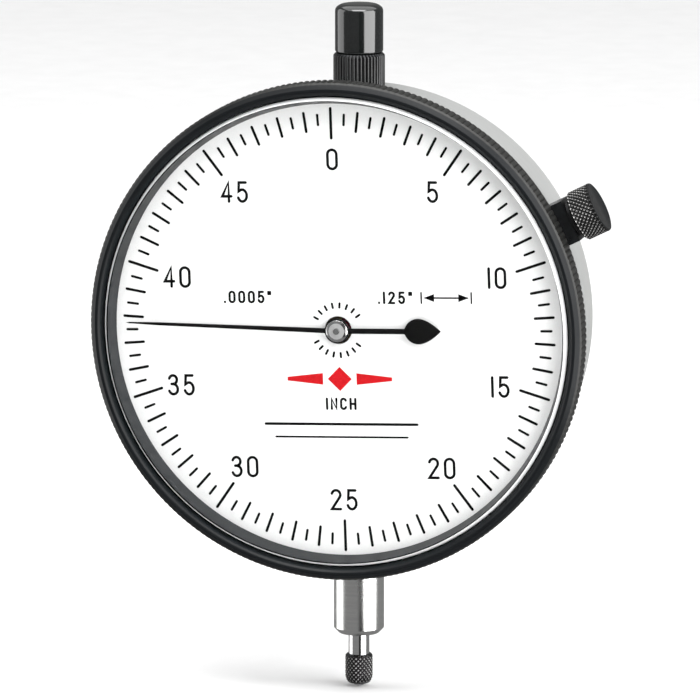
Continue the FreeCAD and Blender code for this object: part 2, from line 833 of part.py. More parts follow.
def lightened(gear, spot, count, ring, radius, first):
    """Gear with round holes between its spokes."""
    for spoke in range(count):
        turn = math.radians(360 / count * spoke + first)
        hole = (spot[0] + ring * math.cos(turn), spot[1] + ring * math.sin(turn))
        gear = gear.cut(rod(hole, radius, -9, -4))
    return gear


def angle_to(start, end):
    return math.degrees(math.atan2(end[1] - start[1], end[0] - start[0]))


MODULE = value("gear_module")
RACK_MODULE = value("rack_module")
BACKLASH = 0.07
RACK_ARBOR_R = 0.75
to_drive = angle_to(CENTRE_XZ, RACK_XZ)
to_takeup = angle_to(CENTRE_XZ, TAKEUP_XZ)
PINION_TEETH = 12
DRIVE_TEETH = 72
TAKEUP_TEETH = 60
PINION_STEP = 360 / PINION_TEETH
centre_phase = to_drive + PINION_STEP / 2
lead = (centre_phase - to_takeup + PINION_STEP / 2) % PINION_STEP - PINION_STEP / 2
takeup_phase = to_takeup + 180 - lead * PINION_TEETH / TAKEUP_TEETH + 180 / TAKEUP_TEETH

# rack pinion arbor and drive gear
rack_tooth = gear_face(RACK_MODULE, PINION_TEETH, 0.85, 1.2, BACKLASH, 0)
arbor = gear_solid(RACK_XZ, -1.2, 2.4, rack_tooth)
arbor = arbor.fuse(rod(RACK_XZ, RACK_ARBOR_R, value("plate_front") + 1.5, value("cock_front") - 0.35))
arbor = arbor.fuse(rod(RACK_XZ, value("pivot_r"), value("plate_front") + 0.3, value("cock_front") + 1.0))
keep(holder("rack_pinion_arbor", arbor.removeSplitter()))

drive = gear_face(MODULE, DRIVE_TEETH, 0.8, 1.25, BACKLASH, to_drive + 180)
drive = gear_solid(RACK_XZ, value("drive_front"), value("drive_thick"), drive)
drive = drive.cut(rod(RACK_XZ, RACK_ARBOR_R + FIT, -9, -5))
keep(holder("drive_gear", lightened(drive, RACK_XZ, 5, 5.0, 2.1, 20)))

# centre pinion with the arbor that carries the hand
centre = gear_face(MODULE, PINION_TEETH, 0.9, 1.25, BACKLASH, centre_phase)
centre = gear_solid(CENTRE_XZ, value("centre_front"), value("centre_back - centre_front"), centre)
centre = centre.fuse(rod(CENTRE_XZ, value("arbor_r"), value("hand_y - 0.7"), value("lower_front") - 0.3))
centre = centre.fuse(rod(CENTRE_XZ, value("pivot_r"), value("hand_y - 0.75"), value("lower_back") - 0.15))
keep(holder("centre_pinion_arbor", centre.removeSplitter()))

# take-up gear, its arbor, collet and hairspring
takeup = gear_face(MODULE, TAKEUP_TEETH, 0.8, 1.25, BACKLASH, takeup_phase)
takeup = gear_solid(TAKEUP_XZ, value("takeup_front"), value("takeup_thick"), takeup)
takeup = takeup.cut(rod(TAKEUP_XZ, value("arbor_r + fit"), -9, -4))
keep(holder("takeup_gear", lightened(takeup, TAKEUP_XZ, 4, 4.1, 1.9, 10)))
staff = rod(TAKEUP_XZ, value("arbor_r"), value("plate_front") + 1.5, value("lower_front") - 0.35)
staff = staff.fuse(rod(TAKEUP_XZ, value("pivot_r"), value("plate_front") + 0.3, value("lower_back") - 0.2))
keep(holder("takeup_arbor", staff.removeSplitter()))
collet = rod(TAKEUP_XZ, 1.0, -8.25, -7.3).cut(rod(TAKEUP_XZ, value("arbor_r + fit"), -9, -7))
keep(holder("hairspring_collet", collet))


SPIRAL_STEPS = 40


def spiral_ribbon(inner, outer, turns, width, low, height):
    """Flat spiral strip round the origin in XZ."""
    steps = turns * SPIRAL_STEPS
    near = []
    far = []
    for i in range(steps + 1):
        angle = 2 * math.pi * turns * i / steps
        radius = inner + (outer - inner) * i / steps
        inside = radius - width / 2
        outside = radius + width / 2
        near.append(V(inside * math.cos(angle), low, inside * math.sin(angle)))
        far.append(V(outside * math.cos(angle), low, outside * math.sin(angle)))
    side_in = Part.BSplineCurve()
    side_in.interpolate(near)
    side_out = Part.BSplineCurve()
    side_out.interpolate(list(reversed(far)))
    wire_edges = [side_in.toShape(), Part.makeLine(near[-1], far[-1]), side_out.toShape(),
                  Part.makeLine(far[0], near[0])]
    return Part.Face(Part.Wire(wire_edges)).extrude(V(0, height, 0))


hairspring = spiral_ribbon(1.12, 5.4, 7, 0.1, -8.1, 0.6)
hairspring.translate(V(TAKEUP_XZ[0], 0, TAKEUP_XZ[1]))
keep(holder("hairspring", hairspring))
stud_spot = (TAKEUP_XZ[0] + 5.95, TAKEUP_XZ[1])
keep(holder("hairspring_stud", rod(stud_spot, 0.45, value("web_front"), -7.2)))

# rack sleeve on the spindle, with the teeth cut across its flat
sleeve = Part.makeCylinder(value("sleeve_r"), value("sleeve_top - spindle_step - fit"),
                           V(0, 0, value("spindle_step + fit")))
RACK_HALF = 4.0
flat_x = -value("rack_pitch_x + rack_module * 0.85")
sleeve = sleeve.cut(Part.makeBox(2, 2 * RACK_HALF, 30, V(flat_x - 2, -RACK_HALF, value("spindle_step") - 2)))
tooth_pitch = math.pi * RACK_MODULE
root_x = -value("rack_pitch_x - rack_module * 1.2")
slope = math.tan(PRESSURE)
gap_half = tooth_pitch / 4 + BACKLASH / 4
near = gap_half + slope * (-value("rack_pitch_x") - flat_x)
deep = gap_half - slope * (root_x + value("rack_pitch_x"))
for k in range(-9, 6):
    mid = COCK_Z + tooth_pitch * k
    corners = [(flat_x, -near), (flat_x - 0.5, -near), (flat_x - 0.5, near), (flat_x, near),
               (root_x, deep), (root_x, -deep), (flat_x, -near)]
    groove = Part.makePolygon([V(x, -RACK_HALF, mid + z) for x, z in corners])
    sleeve = sleeve.cut(Part.Face(groove).extrude(V(0, 2 * RACK_HALF, 0)))
sleeve = sleeve.cut(Part.makeCylinder(value("sleeve_bore"), 30, V(0, 0, value("spindle_step") - 1)))
keep(holder("rack_sleeve", sleeve))


def coil(label, radius, wire_radius, pitch, low, high, x="0"):
    """Round-wire coil spring standing on a line parallel to the spindle."""
    path = doc.addObject("Part::Helix", label + "_path")
    path.Pitch = pitch
    path.setExpression("Radius", full(radius))
    path.setExpression("Height", full("(%s) - (%s)" % (high, low)))
    place(path, UP, x, "0", low)
    section = doc.addObject("Part::Circle", label + "_section")
    section.setExpression("Radius", full(wire_radius))
    place(section, FreeCAD.Rotation(V(1, 0, 0), 90), "(%s) + (%s)" % (x, radius), "0", low)
    doc.recompute()
    spring = doc.addObject("Part::Sweep", label)
    spring.Label = label
    spring.Sections = [section]
    spring.Spine = (path, ["Edge1"])
    spring.Solid = True
    spring.Frenet = True
    doc.recompute()
    return keep(spring)


coil("nonshock_spring", "shock_coil_r", "shock_wire", 1.1, "sleeve_top + 0.3", "seat_low - 0.3")
keep(turned("spring_seat_collar", [
    ("spindle_neck_r + 0.01", "seat_low"),
    ("sleeve_r + 0.2", "seat_low"),
    ("sleeve_r + 0.2", "seat_top"),
    ("spindle_neck_r + 0.01", "seat_top"),
]))

# ---------------------------------------------------------------- guide and return spring
GUIDE_Z = value("guide_z")
pin = Part.makeCylinder(value("pin_r"), 8.3, V(value("spindle_r") - 0.2, 0, GUIDE_Z), V(-1, 0, 0))
keep(holder("guide_pin", pin))
SLOT_HALF = value("pin_r + 0.04")
block = Part.makeBox(3.0, 5.4, 12.0, V(-6.6, value("lower_back + fit"), GUIDE_Z - 4.0))
slot = Part.makeBox(5.0, 2 * SLOT_HALF, 10.0, V(-7.6, -SLOT_HALF, GUIDE_Z - 2.0))
keep(holder("guide_block", block.cut(slot)))

ARM_Z = value("arm_z")
ARM_THICK = 2.4
ARM_WIDTH = 2.0
ARM_SCREW_R = 0.6
arm_screw_z = ARM_Z + ARM_THICK / 2
arm = Part.makeBox(value("spring_x") + 1.2, ARM_WIDTH, ARM_THICK, V(0, -ARM_WIDTH / 2, ARM_Z))
arm = arm.fuse(Part.makeCylinder(3.4, ARM_THICK, V(0, 0, ARM_Z)))
arm = arm.cut(Part.makeCylinder(value("spindle_r") + 0.01, 6, V(0, 0, ARM_Z - 2)))
arm = arm.cut(Part.makeCylinder(ARM_SCREW_R + FIT, 3, V(0, 1.0, arm_screw_z), V(0, 1, 0)))
keep(holder("spindle_arm", arm.removeSplitter()))
keep(holder("arm_screw", Part.makeCylinder(ARM_SCREW_R, 2.0, V(0, 2 + FIT, arm_screw_z), V(0, 1, 0))))
coil("return_spring", "spring_coil", "spring_wire", 0.62, "spring_foot + 1.2", "arm_z - 0.25", "spring_x")
foot = rod((value("spring_x"), value("spring_foot")), 0.8, value("web_back + fit"), 1.6)
keep(holder("spring_post", foot))

# ---------------------------------------------------------------- hand
POINTER_R = 40.5
HAND_Y = value("hand_y")
HAND_THICK = value("hand_thick")
TAIL_BEND = math.radians(2.0)
TAIL_HALF = 0.48
SPADE_ROOT = 12.9
SPADE_TIP = 19.8
SPADE_HALF = 2.4
SPADE_WIDEST = 0.38
SPADE_STEPS = 24


def spade_edge(t):
    """Half width of the spade at a share t of its length: round at the root, pointed at the tip."""
    if t < SPADE_WIDEST:
        return SPADE_HALF * math.sqrt(1 - ((SPADE_WIDEST - t) / SPADE_WIDEST) ** 2)
    return SPADE_HALF * (1 - ((t - SPADE_WIDEST) / (1 - SPADE_WIDEST)) ** 1.75)


def mirrored(points):
    """Outline half followed by its mirror image, back to the start side."""
    return points + [(x, -z) for x, z in reversed(points) if abs(z) > 1e-9]


pointer = [(-2.0, -0.42), (6 - POINTER_R, -0.26), (0.5 - POINTER_R, -0.1), (-POINTER_R, 0.0)]
tail = [(2.0, TAIL_HALF)]
for k in range(SPADE_STEPS + 1):
    share = k / SPADE_STEPS
    if share > SPADE_WIDEST or spade_edge(share) > TAIL_HALF:
        tail.append((SPADE_ROOT + (SPADE_TIP - SPADE_ROOT) * share, spade_edge(share)))


def strip(points, bend):
    """Thin plate from an outline round the dial centre, turned by bend."""
    corners = []
    for x, z in points:
        turn_x = x * math.cos(bend) - z * math.sin(bend)
        turn_z = x * math.sin(bend) + z * math.cos(bend)
        corners.append(V(turn_x, HAND_Y, value("dial_z") + turn_z))
    corners.append(corners[0])
    return Part.Face(Part.makePolygon(corners)).extrude(V(0, HAND_THICK, 0))


hand = rod(CENTRE_XZ, value("hand_boss_r"), HAND_Y, HAND_Y + HAND_THICK)
hand = hand.fuse(strip(mirrored(pointer), 0)).fuse(strip(mirrored(tail), TAIL_BEND)).removeSplitter()
hand = hand.cut(rod(CENTRE_XZ, value("hub_spigot_r") + 0.03, HAND_Y - 1, HAND_Y + 1))
keep(holder("hand", hand))
hub = rod(CENTRE_XZ, value("hub_r"), HAND_Y - 0.5, HAND_Y - FIT)
hub = hub.fuse(rod(CENTRE_XZ, value("hub_spigot_r"), HAND_Y - 0.1, HAND_Y + 1.1))
hub = hub.cut(rod(CENTRE_XZ, value("arbor_r") + 0.01, HAND_Y - 2, HAND_Y + 2)).removeSplitter()
keep(holder("hand_hub", hub))

# ---------------------------------------------------------------- bezel clamp
ANGLE = value("clamp_angle")
OUT = V(math.cos(math.radians(ANGLE)), 0, math.sin(math.radians(ANGLE)))
CENTRE_V = V(0, value("clamp_y"), value("dial_z"))


def radial_rod(radius, low, high, y="clamp_y", side=0.0):
    """Cylinder along the clamp's radial line between two radii."""
    across = V(-OUT.z, 0, OUT.x)
    start = V(0, value(y), value("dial_z")) + OUT * low + across * side
    return Part.makeCylinder(radius, high - low, start, OUT)


RELIEF_FRONT = "clamp_front - 10"
BLANK_LOW = 40
block_box = doc.addObject("Part::Box", "clamp_blank")
block_box.setExpression("Length", full("clamp_width"))
block_box.setExpression("Width", full("clamp_rear - clamp_front"))
block_box.setExpression("Height", full("clamp_face - %d" % BLANK_LOW))
corner = CENTRE_V + OUT * BLANK_LOW
across = V(math.sin(math.radians(ANGLE)), 0, -math.cos(math.radians(ANGLE)))
corner = corner - across * (value("clamp_width") / 2)
corner.y = value("clamp_front")
block_box.Placement = FreeCAD.Placement(corner, RADIAL)
block_case = doc.addObject("Part::Cylinder", "clamp_case_relief")
block_case.setExpression("Radius", full("case_r + fit"))
block_case.Height = 44
place(block_case, ALONG_Y, "0", RELIEF_FRONT, "dial_z")
block_skirt = doc.addObject("Part::Cylinder", "clamp_skirt_relief")
block_skirt.setExpression("Radius", full("skirt_r + 0.25"))
block_skirt.setExpression("Height", full("skirt_back + 0.35 - (%s)" % RELIEF_FRONT))
place(block_skirt, ALONG_Y, "0", RELIEF_FRONT, "dial_z")
reliefs = doc.addObject("Part::Fuse", "clamp_reliefs")
reliefs.Base = block_case
reliefs.Tool = block_skirt
doc.recompute()
block_body = doc.addObject("Part::Cut", "clamp_body")
block_body.Base = block_box
block_body.Tool = reliefs
doc.recompute()
FOOT_Y = "clamp_rear - 1.9"
FOOT_SIDES = (-2.3, 2.3)
FOOT_HEAD_R = 1.4
FOOT_SEAT = 47.4
bores = [
    radial_rod(value("clamp_bore"), value("screw_tip - 0.35"), 52),
    radial_rod(value("shoe_r + 0.05"), 44, 52),
]
for side in FOOT_SIDES:
    bores.append(radial_rod(value("small_hole_r"), 40, 52, FOOT_Y, side))
    bores.append(radial_rod(FOOT_HEAD_R + 0.05, FOOT_SEAT, 52, FOOT_Y, side))
bore_set = holder("clamp_bores", Part.makeCompound(bores))
clamp = doc.addObject("Part::Cut", "clamp_block")
clamp.Base = block_body
clamp.Tool = bore_set
doc.recompute()
keep(clamp)
block_screws = []
case_holes = []
for side in FOOT_SIDES:
    shank = radial_rod(value("small_screw_r"), 41.0, FOOT_SEAT + 0.1, FOOT_Y, side)
    head = radial_rod(FOOT_HEAD_R, FOOT_SEAT + FIT, 48.3, FOOT_Y, side)
    block_screws.append(shank.fuse(head).removeSplitter())
    case_holes.append(radial_rod(value("small_screw_r + fit"), 38, 46, FOOT_Y, side))
keep(holder("clamp_block_screws", Part.makeCompound(block_screws)))
shoe_low = value("skirt_r") + 0.3
keep(holder("clamp_shoe", radial_rod(value("shoe_r"), shoe_low, value("screw_tip - fit"))))
SHOULDER_LOW = 48.98
screw = radial_rod(value("clamp_bore - 0.05"), value("screw_tip"), SHOULDER_LOW + 0.07)
screw = screw.fuse(radial_rod(value("shoulder_r"), SHOULDER_LOW, value("knob_low"))).removeSplitter()
keep(holder("clamp_screw", screw))
knob = radial_rod(value("knob_r"), value("knob_low + fit"), value("knob_top"))
keep(holder("clamp_knob", knob))

# the case with its two radial screw holes for the clamp block
case_drills = holder("case_drills", Part.makeCompound(case_holes))
case_shell = doc.addObject("Part::Cut", "case_shell")
case_shell.Base = case
case_shell.Tool = case_drills
doc.recompute()
keep(case_shell)

# ---------------------------------------------------------------- check and write
doc.recompute()
for item in doc.Objects:
    state = getattr(item, "State", [])
    if "Invalid" in state or "Error" in state:
        raise RuntimeError("%s is %s" % (item.Label, state))
total = 0.0
for item in nodes:
    shape = item.Shape
    if shape.isNull() or not shape.isValid():
        raise RuntimeError("bad shape " + item.Label)
    total += shape.Volume
    print("%-22s solids %2d volume %9.2f" % (item.Label, len(shape.Solids), shape.Volume))
    shape.exportStep(os.path.join("parts", item.Label + ".step"))
print("%d nodes, total volume %.0f" % (len(nodes), total))
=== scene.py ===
import json
import math

import bmesh
import bpy
from mathutils import Matrix, Vector


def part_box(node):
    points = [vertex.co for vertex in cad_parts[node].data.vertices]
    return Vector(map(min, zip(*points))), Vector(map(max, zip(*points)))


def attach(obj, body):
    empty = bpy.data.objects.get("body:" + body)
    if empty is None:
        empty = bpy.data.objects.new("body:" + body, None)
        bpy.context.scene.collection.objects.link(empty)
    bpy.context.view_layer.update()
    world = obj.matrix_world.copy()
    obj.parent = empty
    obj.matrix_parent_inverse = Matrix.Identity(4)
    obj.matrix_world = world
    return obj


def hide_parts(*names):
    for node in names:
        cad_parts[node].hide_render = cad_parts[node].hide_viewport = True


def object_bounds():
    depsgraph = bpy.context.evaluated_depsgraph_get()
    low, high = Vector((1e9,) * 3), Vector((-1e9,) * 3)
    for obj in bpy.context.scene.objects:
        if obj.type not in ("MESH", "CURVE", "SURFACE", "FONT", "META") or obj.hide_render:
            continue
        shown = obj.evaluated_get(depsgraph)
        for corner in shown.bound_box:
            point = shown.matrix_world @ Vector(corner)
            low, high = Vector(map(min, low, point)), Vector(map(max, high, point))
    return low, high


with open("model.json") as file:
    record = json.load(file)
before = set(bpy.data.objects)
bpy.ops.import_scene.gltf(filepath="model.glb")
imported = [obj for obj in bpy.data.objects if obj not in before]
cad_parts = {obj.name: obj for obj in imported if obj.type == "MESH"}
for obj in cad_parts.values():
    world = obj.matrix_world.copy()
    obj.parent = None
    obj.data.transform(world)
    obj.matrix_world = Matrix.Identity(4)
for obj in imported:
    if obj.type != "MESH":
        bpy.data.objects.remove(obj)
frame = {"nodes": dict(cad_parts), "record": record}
cad_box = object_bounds()

# ---------------------------------------------------------------- sizes, in millimetres
MM = 0.001


def box_mm(node):
    low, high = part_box(node)
    return Vector(low) / MM, Vector(high) / MM


def half_width(node, axis=0):
    low, high = box_mm(node)
    return (high[axis] - low[axis]) / 2


bezel_low, bezel_high = box_mm("bezel_ring")
DIAL_Z = (bezel_low.z + bezel_high.z) / 2
BEZEL_R = half_width("bezel_ring")
BEZEL_FRONT = bezel_low.y
BEZEL_BACK = bezel_high.y
DIAL_FACE = box_mm("dial_face")[0].y
DIAL_BACK = box_mm("dial_face")[1].y
DIAL_R = half_width("dial_face")
CRYSTAL_FACE = box_mm("crystal")[0].y
CRYSTAL_BACK = box_mm("crystal")[1].y
HAND_Y = box_mm("hand")[0].y
HAND_TIP = -box_mm("hand")[0].x
CLAMP_ANGLE = math.radians(26.7)
DIAL_TURN = math.radians(2.05)
CENTRE = Vector((0, 0, DIAL_Z))

X = Vector((1, 0, 0))
Y = Vector((0, 1, 0))
Z = Vector((0, 0, 1))
OUT = Vector((math.cos(CLAMP_ANGLE), 0, math.sin(CLAMP_ANGLE)))
DIAL_AXES = (CENTRE, X, Z, Y)
SPINDLE_AXES = (Vector((0, 0, 0)), X, Y, Z)

knob_low, knob_high = box_mm("clamp_knob")
CLAMP_Y = (knob_low.y + knob_high.y) / 2
KNOB_R = (knob_high.y - knob_low.y) / 2
CLAMP_AXES = (Vector((0, CLAMP_Y, DIAL_Z)), Y, OUT.cross(Y), OUT)


# ---------------------------------------------------------------- materials
def new_material(name):
    material = bpy.data.materials.new(name)
    material.use_nodes = True
    nodes = material.node_tree.nodes
    shader = nodes["Principled BSDF"]
    return material, nodes, material.node_tree.links, shader


def object_coords(nodes, links, scale):
    """Object-space coordinates stretched by scale, for grain that follows the part."""
    coords = nodes.new("ShaderNodeTexCoord")
    mapping = nodes.new("ShaderNodeMapping")
    mapping.inputs["Scale"].default_value = scale
    links.new(coords.outputs["Object"], mapping.inputs["Vector"])
    return mapping.outputs["Vector"]


def noise(nodes, links, vector, scale, detail=4.0):
    texture = nodes.new("ShaderNodeTexNoise")
    texture.inputs["Scale"].default_value = scale
    texture.inputs["Detail"].default_value = detail
    links.new(vector, texture.inputs["Vector"])
    return texture.outputs["Fac"]


def spread(nodes, links, factor, low, high):
    """Number that runs from low to high as a noise factor runs over its middle range."""
    scale = nodes.new("ShaderNodeMapRange")
    scale.inputs["From Min"].default_value = 0.3
    scale.inputs["From Max"].default_value = 0.7
    scale.inputs["To Min"].default_value = low
    scale.inputs["To Max"].default_value = high
    links.new(factor, scale.inputs["Value"])
    return scale.outputs["Result"]


def tint(nodes, links, factor, dark, light):
    ramp = nodes.new("ShaderNodeValToRGB")
    ramp.color_ramp.elements[0].position = 0.3
    ramp.color_ramp.elements[0].color = (*dark, 1)
    ramp.color_ramp.elements[1].position = 0.7
    ramp.color_ramp.elements[1].color = (*light, 1)
    links.new(factor, ramp.inputs["Fac"])
    return ramp.outputs["Color"]


# the paler crest colour is partly worn metal and partly a painted highlight on the knurl tops
WORN_AND_GLINT_DEPTH = 0.14           # depth of cut, in millimetres, where the rubbed colour ends


def crest_wear_and_highlight(nodes, links, colour, crest_wear_and_glint):
    """Colour that turns to the paler crest colour where the knurl stands highest: partly worn metal, partly
    a painted highlight for the glints on the crests.
    """
    if crest_wear_and_glint is None:
        return colour
    depth = nodes.new("ShaderNodeAttribute")
    depth.attribute_name = "groove"
    share = nodes.new("ShaderNodeMapRange")
    share.inputs["From Max"].default_value = WORN_AND_GLINT_DEPTH
    links.new(depth.outputs["Fac"], share.inputs["Value"])
    mix = nodes.new("ShaderNodeMix")
    mix.data_type = "RGBA"
    mix.inputs["A"].default_value = (*crest_wear_and_glint, 1)
    links.new(share.outputs["Result"], mix.inputs["Factor"])
    links.new(colour, mix.inputs["B"])
    return mix.outputs["Result"]


def surface(name, colour, metallic, roughness, grain=(1, 1, 1), grain_scale=900, bump=0.02,
            shade=0.12, rough_spread=0.05, coat=0.0, specular=0.5, crest_wear_and_glint=None):
    """Principled finish with grain in its colour, its roughness and its relief.

    The crest colour is the paler colour on the tops of a knurl or of teeth: partly worn metal, partly a
    painted highlight for the glints there.
    """
    material, nodes, links, shader = new_material(name)
    shader.inputs["Metallic"].default_value = metallic
    shader.inputs["Specular IOR Level"].default_value = specular
    shader.inputs["Coat Weight"].default_value = coat
    shader.inputs["Coat Roughness"].default_value = 0.08
    vector = object_coords(nodes, links, grain)
    fine = noise(nodes, links, vector, grain_scale)
    broad = noise(nodes, links, object_coords(nodes, links, (1, 1, 1)), 70, 3.0)
    dark = tuple(c * (1 - shade) for c in colour)
    light = tuple(min(1.0, c * (1 + shade)) for c in colour)
    grained = tint(nodes, links, fine, dark, light)
    links.new(crest_wear_and_highlight(nodes, links, grained, crest_wear_and_glint), shader.inputs["Base Color"])
    links.new(spread(nodes, links, broad, roughness - rough_spread, roughness + rough_spread),
              shader.inputs["Roughness"])
    relief = nodes.new("ShaderNodeBump")
    relief.inputs["Strength"].default_value = bump
    relief.inputs["Distance"].default_value = 0.00002
    links.new(fine, relief.inputs["Height"])
    links.new(relief.outputs["Normal"], shader.inputs["Normal"])
    return material


def clear_plastic(name, alpha, colour=(0.0, 0.0, 0.0)):
    """Thin clear sheet: mostly see-through, with its gloss kept."""
    material, nodes, links, shader = new_material(name)
    shader.inputs["Base Color"].default_value = (*colour, 1)
    shader.inputs["Alpha"].default_value = alpha
    shader.inputs["IOR"].default_value = 1.49
    vector = object_coords(nodes, links, (1, 1, 1))
    haze = noise(nodes, links, vector, 60, 2.0)
    links.new(spread(nodes, links, haze, 0.015, 0.04), shader.inputs["Roughness"])
    return material


RINGS_Z = (0.15, 0.15, 9)
RINGS_Y = (0.15, 9, 0.15)
FINISH = {
    "ground_steel": surface("ground_steel", (0.84, 0.84, 0.83), metallic=1.0, roughness=0.24,
                            grain=RINGS_Z, bump=0.10, shade=0.06, rough_spread=0.04),
    "polished_steel": surface("polished_steel", (0.86, 0.86, 0.86), metallic=1.0, roughness=0.12,
                              grain=RINGS_Z, grain_scale=700, bump=0.05, shade=0.05, rough_spread=0.04),
    "tip_steel": surface("tip_steel", (0.80, 0.80, 0.81), metallic=1.0, roughness=0.20, grain_scale=400,
                         bump=0.01, shade=0.03, rough_spread=0.02),
    "bronze": surface("bronze", (0.58, 0.38, 0.20), metallic=1.0, roughness=0.32, grain=RINGS_Z,
                      grain_scale=700, bump=0.06),
    "black_oxide": surface("black_oxide", (0.014, 0.014, 0.015), metallic=0.6, roughness=0.26,
                           grain_scale=1500, bump=0.10, shade=0.25),
    # painted highlight: paler colour on the serration tops, partly wear
    "black_collar": surface("black_collar", (0.012, 0.013, 0.014), metallic=0.6, roughness=0.24,
                            grain_scale=1200, bump=0.08, shade=0.25, crest_wear_and_glint=(0.045, 0.045, 0.045)),
    "gloss_black": surface("gloss_black", (0.005, 0.006, 0.006), metallic=0.0, roughness=0.13,
                           grain_scale=300, bump=0.01, shade=0.1, rough_spread=0.02, specular=1.0),
    "satin_case": surface("satin_case", (0.34, 0.345, 0.34), metallic=0.3, roughness=0.46, grain=RINGS_Y,
                          grain_scale=600, bump=0.06, shade=0.05),
    "spring_steel": surface("spring_steel", (0.45, 0.46, 0.48), metallic=1.0, roughness=0.24, bump=0.04),
    "screw_steel": surface("screw_steel", (0.50, 0.50, 0.51), metallic=1.0, roughness=0.26,
                           grain_scale=1100, bump=0.06),
    "black_bezel": surface("black_bezel", (0.006, 0.007, 0.008), metallic=0.0, roughness=0.32,
                           grain=RINGS_Y, grain_scale=700, bump=0.05, shade=0.2, specular=0.15),
    "black_spacer": surface("black_spacer", (0.03, 0.034, 0.037), metallic=0.0, roughness=0.45, bump=0.04,
                            shade=0.2),
    "dial_white": surface("dial_white", (0.86, 0.865, 0.86), metallic=0.0, roughness=0.5, grain_scale=1400,
                          bump=0.03, shade=0.012, rough_spread=0.04, specular=0.2),
    "movement_brass": surface("movement_brass", (0.72, 0.55, 0.28), metallic=1.0, roughness=0.30,
                              grain=(9, 1, 1), grain_scale=300, bump=0.06, shade=0.08),
    "gear_brass": surface("gear_brass", (0.75, 0.58, 0.30), metallic=1.0, roughness=0.26, bump=0.05,
                          shade=0.08),
    "jewel_red": surface("jewel_red", (0.55, 0.03, 0.08), metallic=0.0, roughness=0.08, grain_scale=500,
                         bump=0.01, shade=0.1, rough_spread=0.03, coat=0.8),
    "hand_black": surface("hand_black", (0.004, 0.004, 0.004), metallic=0.0, roughness=0.4,
                          grain_scale=1500, bump=0.04, shade=0.2, specular=0.2),
    "black_clamp": surface("black_clamp", (0.012, 0.013, 0.014), metallic=0.5, roughness=0.28,
                           grain_scale=1300, bump=0.08, shade=0.25),
    "crystal_clear": clear_plastic("crystal_clear", 0.05),
}
PRINT_BLACK = surface("print_black", (0.005, 0.005, 0.005), metallic=0.0, roughness=0.6, grain_scale=2500,
                      bump=0.05, shade=0.25, specular=0.1)
PRINT_RED = surface("print_red", (0.50, 0.008, 0.012), metallic=0.0, roughness=0.6, grain_scale=2500,
                    bump=0.05, shade=0.15, specular=0.1)
BEZEL_TEETH = surface("bezel_teeth", (0.020, 0.020, 0.019), metallic=0.2, roughness=0.34, bump=0.06,
                      shade=0.25, specular=0.3)
# painted highlight: pale crest colour on the knurl tops, partly worn metal
KNOB_KNURL = surface("knob_knurl", (0.012, 0.012, 0.012), metallic=0.6, roughness=0.24, grain_scale=1300,
                     bump=0.08, shade=0.25, crest_wear_and_glint=(0.50, 0.49, 0.48))
# painted highlight: pale crest colour on the knurl tops, partly worn metal
CONTACT_KNURL = surface("contact_knurl", (0.014, 0.014, 0.015), metallic=0.6, roughness=0.26,
                        grain_scale=1500, bump=0.10, shade=0.25, crest_wear_and_glint=(0.50, 0.49, 0.48))
HUB_SATIN = surface("hub_satin", (0.40, 0.40, 0.40), metallic=0.3, roughness=0.5, bump=0.05, shade=0.08)
# painted highlight: the clear bevel is coloured pale grey-white all round instead of reflecting the lights
CRYSTAL_BEVEL_PAINTED_HIGHLIGHT = surface("crystal_bevel_painted_highlight", (0.80, 0.81, 0.81), metallic=0.0, roughness=0.35, grain_scale=300,
                        bump=0.01, shade=0.04, rough_spread=0.04)
CRYSTAL_CONE = surface("crystal_cone", (0.017, 0.019, 0.021), metallic=0.0, roughness=0.40,
                       grain_scale=300, bump=0.01, shade=0.1, rough_spread=0.04, specular=0.3)
BLACK_EDGE = surface("bezel_seat_black", (0.006, 0.008, 0.009), metallic=0.0, roughness=0.5, bump=0.03,
                     shade=0.2, specular=0.1)

for entry in frame["record"]["subparts"]:
    node = frame["nodes"][entry["node"]]
    finish = FINISH[entry["material_slot"]]
    node.data.materials.clear()
    node.data.materials.append(finish)


# ---------------------------------------------------------------- mesh helpers
def finish_mesh(name, bm, slot, body, replaced=(), sharp=32.0, materials=None):
    """Turns a bmesh made in millimetres into a piece that rides on a CAD body."""
    bmesh.ops.remove_doubles(bm, verts=bm.verts, dist=1e-5)
    bmesh.ops.recalc_face_normals(bm, faces=bm.faces)
    mesh = bpy.data.meshes.new(name)
    bm.to_mesh(mesh)
    bm.free()
    mesh.transform(Matrix.Scale(MM, 4))
    for material in materials or [FINISH[slot]]:
        mesh.materials.append(material)
    mesh.shade_smooth()
    mesh.set_sharp_from_angle(angle=math.radians(sharp))
    piece = bpy.data.objects.new(name, mesh)
    bpy.context.collection.objects.link(piece)
    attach(piece, body)
    if replaced:
        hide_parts(*replaced)
    return piece


def rounded(profile, radius, steps=4):
    """Outline with each corner eased by an arc; radius is one number or one per corner."""
    count = len(profile)
    radii = radius if isinstance(radius, (list, tuple)) else [radius] * count
    points = []
    for i in range(count):
        here = Vector(profile[i])
        back = Vector(profile[i - 1]) - here
        ahead = Vector(profile[(i + 1) % count]) - here
        size = min(radii[i], back.length * 0.45, ahead.length * 0.45)
        on_axis = here.x < 1e-6
        if size < 1e-4 or on_axis:
            points.append((here.x, here.y))
            continue
        start = here + back.normalized() * size
        end = here + ahead.normalized() * size
        for k in range(steps + 1):
            t = k / steps
            point = start * (1 - t) ** 2 + here * 2 * t * (1 - t) + end * t ** 2
            points.append((point.x, point.y))
    return points


